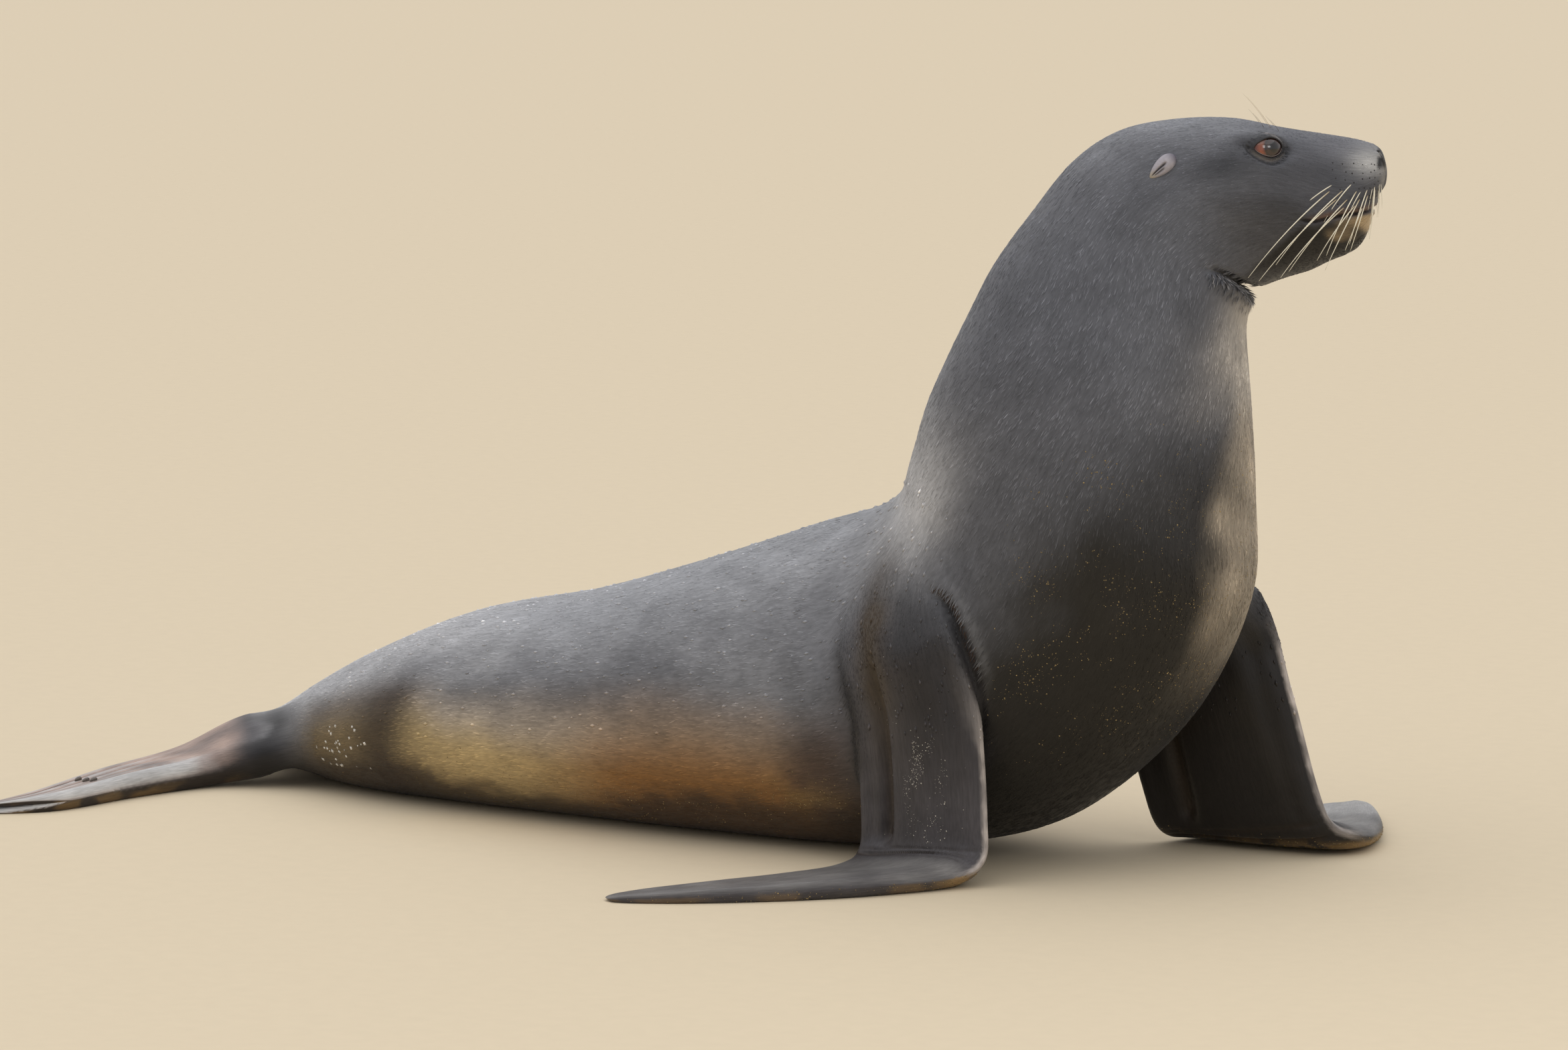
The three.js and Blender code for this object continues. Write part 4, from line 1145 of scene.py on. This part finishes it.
def tube(path, radius, around, closed=False):
    """Rings of a radius for each point of a path, square to it; an open end closes in a point."""
    if closed:
        ahead, behind = np.roll(path, -1, 0), np.roll(path, 1, 0)
    else:
        ahead, behind = np.vstack([path[1:], path[-1:]]), np.vstack([path[:1], path[:-1]])
    way = unit(ahead - behind)
    first = unit(np.cross(way, np.array([0.1, 0.2, 1.0])))
    second = np.cross(first, way)
    angle = np.linspace(0, 2 * math.pi, around, endpoint=False)
    radius = np.broadcast_to(radius, len(path))[:, None, None]
    rings = path[:, None] + radius * (first[:, None] * np.cos(angle)[None, :, None]
                                      + second[:, None] * np.sin(angle)[None, :, None])
    rows = len(path)
    k = (np.arange(rows if closed else rows - 1)[:, None] * around + np.arange(around)).ravel()
    right = k - k % around + (k + 1) % around
    up, up_right = (k + around) % (rows * around), (right + around) % (rows * around)
    triangles = np.concatenate([np.stack([k, up_right, right], 1), np.stack([k, up, up_right], 1)])
    points = rings.reshape(-1, 3)
    if not closed:
        last = (rows - 1) * around
        j = np.arange(around)
        start, end = len(points), len(points) + 1
        points = np.vstack([points, path[:1], path[-1:]])
        ring = (j + 1) % around
        triangles = np.concatenate([
            triangles, np.stack([np.full(around, start), j, ring], 1),
            np.stack([np.full(around, end), last + ring, last + j], 1)])
    return points, triangles

def joined(parts):
    """Several (points, triangles, ...) as one, with their fields end to end."""
    offset = np.cumsum([0] + [len(part[0]) for part in parts[:-1]])
    points = np.concatenate([part[0] for part in parts])
    triangles = np.concatenate([part[1] + k for part, k in zip(parts, offset)])
    rest = [np.concatenate(field) for field in zip(*(part[2:] for part in parts))]
    return (points, triangles, *rest)

def coloured(points, triangles, colour):
    """A part with one colour, or one for each point."""
    colour = np.broadcast_to(colour, (len(points), 3))
    return points, triangles, opaque(colour)

# ------------------------------------------------------------------ the pieces
rng = np.random.default_rng(SEED)
points, triangles, lie, way, bare, part, seam = make_skin()
out = normals_of(points, triangles)
points_part = np.zeros(len(points), int)
for corner in range(3):
    np.maximum.at(points_part, triangles[:, corner], part)
coat = coat_colours(points, out, lie, bare, points_part, seam, edges_of(triangles))
skin = add_mesh("skin", points, triangles, lie=lie, bare=bare, coat=opaque(coat))
skin_coat = coat_material("short wet coat over skin", 0.44, 0.35)
tuft_coat = coat_material("guard hair tufts", 0.46, 0.1)
finish_piece(skin, skin_coat, "coat", "tail", "rump", "belly", "chest", "neck", "head",
             "fore_flipper_left", "fore_flipper_right", "hind_flipper_left",
             "hind_flipper_right")

# The skin's triangles: how large each is, and what lies at its middle. Tufts grow on all but the
# open eyes, the lips, the nose, and the bare palms and soles.
corners = points[triangles]
area = np.linalg.norm(np.cross(corners[:, 1] - corners[:, 0],
                               corners[:, 2] - corners[:, 0]), axis=1) / 2
centres = corners.mean(1)
cx, cy, cz = centres.T
lie_at, bare_at, out_at, seam_at = (field[triangles].mean(1) for field in (lie, bare, out, seam))
length_at, facing, side_at = lie_at[:, 0], out_at[:, 2], from_back(lie_at)
row_at, across_at = (FORE_START - length_at) / FORE_ROW, lie_at[:, 1] / ACROSS_SIZE
on_body, on_fore = part == BODY, (part == RIGHT_FORE) | (part == LEFT_FORE)
head_at = unturned_head(centres)
open_eye = np.zeros(len(triangles), bool)
for side in (1, -1):
    centre, rear, up, gaze = eye_frame(side)
    offset = head_at - centre
    open_eye |= (lid_distance(offset @ rear, offset @ up) < 3.0) & (offset @ gaze > 0) & (cz > 850)
is_head = smooth(720, 800, cz)
on_lips = is_head * bell(head_at[:, 2] - mouth_height(head_at[:, 0]), 3) * smooth(900, 920, head_at[:, 0])
on_nose = is_head * smooth(998, 1003, head_at[:, 0]) * smooth(870, 880, head_at[:, 2])
clear = (cz > 2.5) & ~open_eye & (on_lips < 0.4) & (on_nose < 0.5)
furred = area * clear * smooth(1.0, 0.55, bare_at)

def section_length(name):
    """Metres along the body, in the coat's own coordinates, at a named section."""
    return body_fields(np.array([SECTION[name]], float), np.array([math.pi / 2]))[0][0, 0]

def places_on_skin(count, weight):
    """Random places on the skin's triangles, as likely as their weights: (root, normal, way,
    lie, colour) as add_tufts takes them."""
    chosen, shares = scattered(count, weight, triangles, rng)
    return tuple(shared(field, triangles, chosen, shares) for field in (points, out, way, lie, coat))

COAT_PIECES = (
    # name, first and last section, number, then a tuft's length, width and lift in millimetres,
    # how much lighter its tip is (paler hair, and a painted highlight), and how much its tone varies
    ("coat_head", "occiput", None, 19000, 7.0, 1.1, 0.35, 2.0, 0.2),
    ("coat_neck", "chest", "occiput", 19500, 13.0, 1.7, 0.6, 2.0, 0.2),
    ("coat_chest", "withers", "chest", 19500, 14.0, 1.9, 0.6, 1.6, 0.12),
    ("coat_back", "loin", "withers", 19500, 14.0, 2.0, 0.55, 1.6, 0.12),
    ("coat_rump", None, "loin", 15000, 12.0, 1.9, 0.5, 1.6, 0.12),
)
for name, start, end, count, tuft_length, tuft_width, tuft_lift, tips, varied in COAT_PIECES:
    here = on_body
    if start:
        here = here & (length_at > section_length(start))
    if end:
        here = here & (length_at <= section_length(end))
    count //= THINNED
    root, normal, lay, place, tint = places_on_skin(count, furred * here)
    size = rng.uniform(0.7, 1.25, count)
    if name == "coat_head":
        size = size * (1.0 - 0.5 * smooth(780, 900, unturned_head(root)[:, 0]))
    add_tufts(name, root, normal, lay, tuft_length * size, tuft_width * size ** 0.5,
              tuft_lift * size * rng.uniform(0.4, 1.0, count), tint, place, tuft_coat, "coat",
              rng, tips=tips, tone_spread=varied)
for k, name in ((RIGHT_FORE, "right"), (LEFT_FORE, "left")):
    count = 4000 // THINNED
    limb_hair = area * clear * smooth(1.02, 0.4, bare_at) * (cz > 60) * (part == k)
    root, normal, lay, place, tint = places_on_skin(count, limb_hair)
    size = rng.uniform(0.7, 1.2, count)
    add_tufts(f"coat_fore_{name}", root, normal, lay, 6 * size, 1.2 * size ** 0.5,
              0.3 * size, tint, place, tuft_coat, "coat", rng, tips=1.3)

def add_grains(name, root, normal, radius, height, colour, material, slot, way=None, stretch=1):
    """Grains stuck on the coat: octahedra of a radius each, flattened towards the skin, and
    drawn out by stretch along a way."""
    count = len(root)
    normal = unit(normal)
    first = unit(np.cross(normal, rng.normal(size=(count, 3)) if way is None else way))
    second = np.cross(normal, first) * stretch
    radius, height = (np.broadcast_to(k, count)[:, None] for k in (radius, height))
    corner = np.stack([root + first * radius, root + second * radius, root - first * radius,
                       root - second * radius, root + normal * height, root - normal * height], 1)
    corner[:, :4] += (rng.random((count, 4, 1)) - 0.5) * radius[:, None] * first[:, None] * 0.5
    faces = np.array([(0, 1, 4), (1, 2, 4), (2, 3, 4), (3, 0, 4),
                      (1, 0, 5), (2, 1, 5), (3, 2, 5), (0, 3, 5)])
    each = corner.shape[1]
    grains = (faces[None] + each * np.arange(count)[:, None, None]).reshape(-1, 3)
    paint = np.repeat(colour * np.exp(rng.normal(0, 0.2, (count, 1))), each, axis=0)
    piece = add_mesh(name, corner.reshape(-1, 3), grains, coat=opaque(np.clip(paint, 0, 1)))
    finish_piece(piece, material, slot)

# Wet hair stands in small drops over the back, the flank and the shoulder.
on_trunk = on_body * smooth(-560, -480, cx) * smooth(560, 500, cx) * smooth(520, 450, cz)
wet = on_trunk * smooth(1.95, 1.5, side_at) * smooth(-0.2, 0.1, facing)
wet_arm = on_fore * smooth(150, 220, cz)
root, normal, lay, place, tint = places_on_skin(1500, area * (wet + 1.6 * wet_arm))
size = rng.uniform(0.6, 1.4, len(root))
# Their colour is the coat's times 1.75: a painted highlight of the water on them.
add_grains("wet_clumps", root, normal, 1.6 * size, 1.6 * size, tint * 1.75, tuft_coat, "coat",
           lay, 2.4)

# Hair hangs over the fold under the jaw, dark at the root and white at the tip: partly pale hair, partly a
# painted highlight.
fold_v = np.concatenate([s * rng.uniform(2.2, 3.1, 90) for s in (1, -1)])
fold_u = crease_place(fold_v) + rng.uniform(-0.35, 0.12, len(fold_v))
root, normal, lay = surface_at(fold_u, fold_v)
hang = unit(lay + np.array([0, 0, -0.5]))
place = body_fields(fold_u, fold_v)[0]
size = rng.uniform(0.7, 1.2, len(root))
add_tufts("throat_fringe", root, normal, hang, 15 * size, 1.7 * size, 4.0 * size,
          np.tile(linear("#4c4a49"), (len(root), 1)), place, tuft_coat, "coat", rng,
          tips=6.0, spread=0.25, ridge=0.9)

# A short fringe stands along the cleft where each fore flipper leaves the chest.
ahead_at = as_on_right(cx, cy)
cleft_at = (bell(seam_at - 9, 5) * smooth(520, 550, ahead_at) * smooth(260, 300, cz)
            * smooth(400, 370, cz) * on_body)
root, normal, lay, place, tint = places_on_skin(420, area * cleft_at)
size = rng.uniform(0.6, 1.2, len(root))
add_tufts("shoulder_fringe", root, normal, lay, 8 * size, 0.8 * size, 0.6 * size,
          np.tile(linear("#3f322b"), (len(root), 1)), place, tuft_coat, "coat", rng,
          tips=1.5, spread=0.2, ridge=0.2)

# Sand sticks to the chest, the belly behind the flipper, the fore flippers' soles, the low flank
# and, dried, to the right fore flipper: dull quartz grains of slightly different tones.
grain_sand = plain_material("damp sand grains", PAINTED, 0.7, 900, ior=1.54, spread=0.2)
DRIED_GRAINS = 520
chest = on_body * smooth(560, 680, cx) * smooth(120, 220, cz) * smooth(640, 430, cz)
chest = chest * smooth(-0.6, 1.4, mottle(centres, 70, SEED + 9) + mottle(centres, 24, SEED + 10))
behind_flipper = on_body * spot((cx - 330) / 60, (side_at - 2.15) / 0.14)
sole = on_fore * smooth(30, 8, cz) * smooth(0.5, 0.0, facing) * (cz > 0.8)
crust = on_fore * sand_crust(centres, out_at, row_at, across_at) * (cz > 0.8)
low_flank = on_body * bell(cx + 40, 240) * bell(cz - 45, 34) * smooth(0.1, -0.2, facing)
low_flank = low_flank * smooth(-0.4, 1.0,
                               mottle(centres, 60, SEED + 12) + mottle(centres, 20, SEED + 13))
limb = (part == RIGHT_FORE) * bell(row_at - 2.5, 0.7) * bell(across_at - 0.42, 0.16)
limb = limb * smooth(0.0, 1.2, mottle(centres * np.array([1, 1, 0.4]), 22, SEED + 11))
sand_places = [places_on_skin(count, area * weight) for count, weight in (
    (2600, chest * smooth(1.5, 2.0, side_at)), (500, behind_flipper), (3800, 0.2 * sole + crust),
    (1800, low_flank), (DRIED_GRAINS, limb))]
grain_root, grain_normal = (np.vstack([fields[k] for fields in sand_places]) for k in (0, 1))
grain_size = 0.4 + 0.9 * rng.random(len(grain_root)) ** 3
grain_root[:, 2] = np.maximum(grain_root[:, 2], grain_size)
grain_tone = np.tile(linear(GRAIN), (len(grain_root), 1))
grain_tone[-DRIED_GRAINS:] = linear(DRY_GRAIN)
add_grains("sand_grains", grain_root, grain_normal, grain_size, 0.7 * grain_size, grain_tone,
           grain_sand, "coat")

# White flecks low on the rump, on both sides.
fleck = on_body * spot((cx + 474) / 34, (cz - 74) / 24) * (np.abs(cy) > 90)
fleck_root, fleck_normal = places_on_skin(64, area * fleck)[:2]
fleck_size = rng.uniform(1.8, 3.6, len(fleck_root))
add_grains("rump_flecks", fleck_root, fleck_normal, fleck_size, 0.8,
           np.tile(linear(WHITE_SPECK), (len(fleck_root), 1)), grain_sand, "coat")

# ------------------------------------------------------------------ eyes
RIM_POINTS = 120                    # round the eye opening
IRIS = {"across": -7.5, "up": 1.0, "radius": 13.6, "pupil": 7.0}
CORNEA = {"radius": 13.5, "bulge": 1.5}

def almond(grow):
    """The eye opening's outline in the eye's plane, from the rear corner over the top."""
    angle = np.linspace(0, 2 * math.pi, RIM_POINTS, endpoint=False)
    cos, sin = np.cos(angle), np.sin(angle)
    across, tall, power = opening_at(cos > 0, sin > 0)
    return (EYE_OPENING["middle"] + (across + grow) * rounded(cos, power),
            (tall + grow) * rounded(sin, power))

def in_eye(side, a, b, reach):
    """Points of the turned head from places across, up and out of an eye."""
    centre, rear, up, gaze = eye_frame(side)
    return turned(centre + a[..., None] * rear + b[..., None] * up + reach[..., None] * gaze)

def eye_colours(from_iris, a, b):
    """A red-brown haw with fine veins behind a dark iris with paler spokes, and the pupil."""
    iris, pupil = IRIS["radius"], IRIS["pupil"]
    spin = np.arctan2(b - IRIS["up"], a - IRIS["across"])
    veins = np.sin(9 * spin + 3 * np.sin(a)) * np.sin(from_iris * 1.7 + 2 * spin)
    spokes = 0.5 + 0.5 * np.sin(47 * spin + 4 * np.sin(from_iris))
    colours = np.tile(linear("#7c3c24"), (len(a), 1))
    for colour, weight in (
            ("#9c5a3a", 0.4 * smooth(0.2, 1, veins)),
            ("#7a4f3c", 0.8 * smooth(1, 7, b)),
            ("#4f2014", smooth(20, 26, from_iris)),
            ("#2a1611", smooth(3, -6, a - IRIS["across"])),
            ("#3c2015", 0.8 * smooth(iris + 3.5, iris, from_iris)),
            ("#3a1c13", 0.8 * smooth(5, 12, np.abs(b))),
            ("#190e0a", smooth(iris + 0.7, iris - 0.5, from_iris)),
            ("#3b251d", 0.7 * smooth(iris - 1, iris - 3, from_iris) * (0.5 + 0.5 * spokes)),
            ("#0b0605", smooth(pupil + 1.5, pupil - 1.5, from_iris))):
        colours = toned(colours, colour, weight)
    return colours

def eyeball(side):
    """An ellipsoid on a grid of the turn about the gaze and the angle away from it, with the
    cornea standing out by bulge (1 - (distance / radius)^2)^1.5 over the iris."""
    turn, away = np.meshgrid(np.linspace(0, 2 * math.pi, 97)[:-1], np.linspace(0, math.pi, 81),
                             indexing="ij")
    a = EYE_HALF[0] * np.sin(away) * np.cos(turn)
    b = EYE_HALF[1] * np.sin(away) * np.sin(turn)
    from_iris = np.hypot((a - IRIS["across"]) / 0.95, b - IRIS["up"])
    bulge = CORNEA["bulge"] * np.maximum(1 - (from_iris / CORNEA["radius"]) ** 2, 0) ** 1.5
    reach = EYE_HALF[2] * np.cos(away) + np.where(away < math.pi / 2, bulge, 0)
    rows, columns = turn.shape
    k = (np.arange(rows)[:, None] * columns + np.arange(columns - 1)).ravel()
    right = (k + columns) % (rows * columns)
    faces = np.concatenate([np.stack([k, right + 1, right], 1), np.stack([k, k + 1, right + 1], 1)])
    colours = eye_colours(from_iris.ravel(), a.ravel(), b.ravel())
    return welded(in_eye(side, a, b, reach).reshape(-1, 3),
                  faces if side < 0 else faces[:, ::-1], opaque(colours))

# The eyes are the glossiest thing on the animal: a film of tears over a dark iris.
eye_surface = plain_material("wet eye", PAINTED, 0.2, 900, film=1.0, ior=WET_IOR, spread=0.1)
# Bare black skin with a damp shine rings them, and a pale line lies on the lower lid: the film of tears, its
# paleness a painted reflection.
lid_skin = plain_material("wet lid margin", "#171314", 0.35, 500, 0.15, 0.1)
tear_reflection = plain_material("tear line", "#6a5f59", 0.3, 500, 0.1, 0.3)
for side, word in ((1, "left"), (-1, "right")):
    places, faces, tint = eyeball(side)
    eye = add_mesh(f"eyeball_{word}", places, faces, coat=tint)
    finish_piece(eye, eye_surface, "eye", f"eye_{word}")
    a, b = almond(0.6)
    rim = in_eye(side, a, b, eyeball_depth(a, b) + 0.9)
    lid = add_mesh(f"lid_rim_{word}", *tube(rim, 1.25, 10, closed=True))
    finish_piece(lid, lid_skin, "flipper_skin")
    a, b = almond(-1.6)
    low = np.arange(RIM_POINTS) >= RIM_POINTS // 2
    tear = in_eye(side, a[low], b[low], eyeball_depth(a[low], b[low]) + 0.35)
    taper = 0.5 * np.sin(np.linspace(0, math.pi, low.sum())) ** 0.5 + 0.08
    line = add_mesh(f"tear_reflection_{word}", *tube(tear, taper, 8))
    finish_piece(line, tear_reflection, "eye")

# ------------------------------------------------------------------ whiskers
# Whiskers are smooth keratin: ivory, with a soft gloss that draws a bright line along each.
whisker_horn = plain_material("whisker horn", PAINTED, 0.38, 400, ior=1.54, spread=0.05)
WHISKER_RINGS, WHISKER_SIDES = 22, 6
WHISKER_ROWS = (
    # angle from the back, number, first and last place, longest, shortest
    (1.13, 4, 22.3, 23.4, 42, 22),
    (1.26, 5, 22.1, 24.0, 100, 34),
    (1.40, 6, 21.8, 24.1, 168, 42),
    (1.53, 6, 21.9, 24.1, 172, 42),
    (1.65, 5, 22.1, 24.0, 130, 38),
)

def whisker(start, out, length, droop, radius):
    """A tapering bristle: leaves the pad outwards, then bends back and down in a parabola."""
    t = np.linspace(0, 1, WHISKER_RINGS)[:, None]
    forward = unturned_to_row(np.array([1.0, 0, 0]))
    down = np.array([0, 0, -1.0])
    first = unit(out * 0.5 - forward * math.cos(droop - 0.2) + down * math.sin(droop - 0.2))
    last = unit(-forward * math.cos(droop + 0.14) + down * math.sin(droop + 0.14) - out * 0.05)
    path = start - out * 2 + length * (first * (t - t ** 2 / 2) + last * t ** 2 / 2)
    return path, radius * (1 - 0.65 * t[:, 0] ** 2)

BROW_BRISTLES = (20, 44, 16)        # over each eye, millimetres long
bristles, pits = [], []
ivory, horn = linear("#e6dfca"), linear("#a08a64")
for side in (1, -1):
    for angle, count, first, last, longest, shortest in WHISKER_ROWS:
        u = np.linspace(first, last, count) + rng.uniform(-0.06, 0.06, count)
        start, normal, _ = surface_at(u, side * (angle + rng.uniform(-0.02, 0.02, count)))
        for k in range(count):
            ahead = k / (count - 1)
            length = (longest + (shortest - longest) * ahead ** 0.75) * rng.uniform(0.9, 1.1)
            droop = math.radians(44 + 38 * ahead + rng.uniform(-4, 4))
            path, radius = whisker(start[k], normal[k], length, droop,
                                   0.8 if length > 60 else 0.5)
            pieces = tube(path, radius, WHISKER_SIDES)
            ring = np.arange(len(pieces[0])) // WHISKER_SIDES
            share = np.minimum(ring / (WHISKER_RINGS - 1), 1)[:, None]
            tint = horn + (ivory - horn) * smooth(0.0, 0.22, share)
            bristles.append(coloured(*pieces, tint))
    start, normal, back = surface_at([20.55, 20.7, 20.85], side * np.array([0.30, 0.24, 0.34]))
    for k, length in enumerate(BROW_BRISTLES):
        t = np.linspace(0, 1, 14)[:, None]
        lean = unit(back[k] * 0.75 + normal[k] * 0.8)
        path = start[k] + length * (lean * t + back[k] * 0.22 * t ** 2)
        bristles.append(coloured(*tube(path, 0.24 * (1 - 0.7 * t[:, 0]), WHISKER_SIDES),
                                 linear("#b09a7c" if length > 30 else "#5c5146")))
spot_u, spot_v = (k.ravel() for k in np.meshgrid(np.linspace(21.9, 23.9, 7),
                                                 np.linspace(0.95, 1.75, 6)))
for side in (1, -1):
    start, normal, _ = surface_at(spot_u + rng.uniform(-0.1, 0.1, spot_u.size),
                                  side * (spot_v + rng.uniform(-0.03, 0.03, spot_u.size)))
    pits.append((start, normal))
pit_root, pit_normal = (np.vstack(k) for k in zip(*pits))
add_grains("whisker_pits", pit_root, pit_normal, 1.25, 0.35,
           np.tile(linear("#1d1714"), (len(pit_root), 1)), whisker_horn, "claw")
places, faces, tint = joined(bristles)
whiskers = add_mesh("whiskers", places, faces, coat=tint)
finish_piece(whiskers, whisker_horn, "claw")

# ------------------------------------------------------------------ ears
# The ears' short-haired leather is paler than the coat and hardly shines.
ear_leather = plain_material("ear skin", PAINTED, 0.5, 260, 0.2, 0.1, 1.45, 0.1)

def ear_pinna(side):
    """A tightly rolled leaf along its axis: radius sin(pi s^0.72)^0.62, flattened against the
    head, with a slit and a shorter fold pressed in along its outer face towards the tip."""
    start = np.array([EAR["x"], side * EAR["y"], EAR["z"]], float)
    axis = unit(np.array([-1, side * 0.25, -0.9]))
    off_head = unit(np.array([0, side, 0.25]) - axis * (side * axis[1] + 0.25 * axis[2]))
    across = np.cross(axis, off_head)
    s, turn = np.meshgrid(np.linspace(0, 1, 60), np.linspace(0, 2 * math.pi, 49)[:-1],
                          indexing="ij")
    radius = EAR["radius"] * np.sin(math.pi * s ** 0.72) ** 0.62
    facing = np.sin(turn)
    outer = facing > 0
    slit = (bell(np.cos(turn) - 0.2 * (s - 0.5), 0.13) * outer * smooth(0.3, 0.5, s)
            * smooth(0.97, 0.85, s))
    fold = bell(np.cos(turn) + 0.42, 0.1) * outer * smooth(0.45, 0.6, s) * smooth(0.9, 0.8, s)
    radius = radius * (1 - 0.62 * slit - 0.3 * fold)
    point = (start + axis * (s * EAR["length"])[..., None]
             + across * (radius * np.cos(turn))[..., None]
             + off_head * (radius * facing * 0.8 + 1.5 * np.sin(math.pi * s))[..., None])
    tint = np.tile(linear("#9a959b"), (s.size, 1))
    tint = toned(tint, "#5f5a63", smooth(0.3, 0.0, s.ravel()))
    tint = toned(tint, "#a09478", 0.7 * smooth(0.7, 1.0, s.ravel()))
    # Painted shade darkens the slit and the fold pressed into the ear.
    tint = toned(tint, "#15110f", np.minimum(1.4 * slit.ravel() + 1.1 * fold.ravel(), 1))
    rows, columns = s.shape
    k = (np.arange(rows - 1)[:, None] * columns + np.arange(columns)).ravel()
    right = k - k % columns + (k + 1) % columns
    faces = np.concatenate([np.stack([k, right, right + columns], 1),
                            np.stack([k, right + columns, k + columns], 1)])
    return welded(turned(point.reshape(-1, 3)), faces if side < 0 else faces[:, ::-1],
                  opaque(tint))

for side, word in ((1, "left"), (-1, "right")):
    places, faces, tint = ear_pinna(side)
    ear = add_mesh(f"pinna_{word}", places, faces, coat=tint)
    finish_piece(ear, ear_leather, "ear_skin", f"ear_{word}")

# The claws are brown horn, worn to a dull shine.
claw_horn = plain_material("claw horn", "#574d44", 0.36, 700, 0.15, 0.2)
for name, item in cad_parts.items():
    if name.startswith("claw_"):
        item.data.materials.clear()
        item.data.materials.append(claw_horn)

# ------------------------------------------------------------------ stage, light and camera
# A matt floor, plain but for the faintest cloudiness.
sand_floor = plain_material("pale floor", "#d6c6a9", 0.9, 40, ior=1.45, spread=0.015)
FLOOR_REACH = 90000
FLOOR_LEVEL = -0.3                  # just under the model's flats
floor_corners = np.array([(-1, -1, 0), (1, -1, 0), (1, 1, 0), (-1, 1, 0)]) * FLOOR_REACH
floor = add_mesh("floor", floor_corners + np.array([0, 0, FLOOR_LEVEL]),
                 np.array([[0, 1, 2], [0, 2, 3]]))
floor.data.materials.append(sand_floor)

def add_lamp(name, kind, place, way, power, hex_colour):
    """A lamp of a kind at a place, shining along a way."""
    lamp = bpy.data.lights.new(name, kind)
    lamp.energy, lamp.color = power, linear(hex_colour)
    holder = bpy.data.objects.new(name, lamp)
    holder.location = place
    holder.rotation_euler = Vector(way).to_track_quat("-Z", "Y").to_euler()
    bpy.context.scene.collection.objects.link(holder)
    return lamp

# An overcast sky lights the animal from a wide patch overhead, and a small panel ahead of it
# gives the wet eyes their highlights.
overhead = add_lamp("overhead_sky", "SUN", (0, 0, 0), (0.12, 0.1, -1.0), 1.35, "#fbfbff")
overhead.angle = math.radians(110)
panel = add_lamp("front_panel", "AREA", (4.6, -2.2, 2.6), (-4.0, 2.2, -2.0), 20, "#ffffff")
panel.size = 1.2

world = bpy.data.worlds.new("soft room")
world.use_nodes = True
world.node_tree.nodes["Background"].inputs["Color"].default_value = rgba("#f4f4f6")
world.node_tree.nodes["Background"].inputs["Strength"].default_value = 0.72
bpy.context.scene.world = world

# The camera stands 9 m off, round the right side towards the front, and looks a little down.
CAMERA_PLACE = (5.312, -7.362, 1.510)
CAMERA_DOWN, CAMERA_ROUND = 7, 35   # degrees
CAMERA_LENS = 157.27
camera = bpy.data.objects.new("camera", bpy.data.cameras.new("camera"))
bpy.context.scene.collection.objects.link(camera)
camera.location = CAMERA_PLACE
camera.rotation_euler = (math.radians(90 - CAMERA_DOWN), 0, math.radians(CAMERA_ROUND))
camera.data.lens = CAMERA_LENS
camera.data.clip_end = 500
bpy.context.scene.camera = camera

bpy.context.scene.view_settings.view_transform = "Standard"
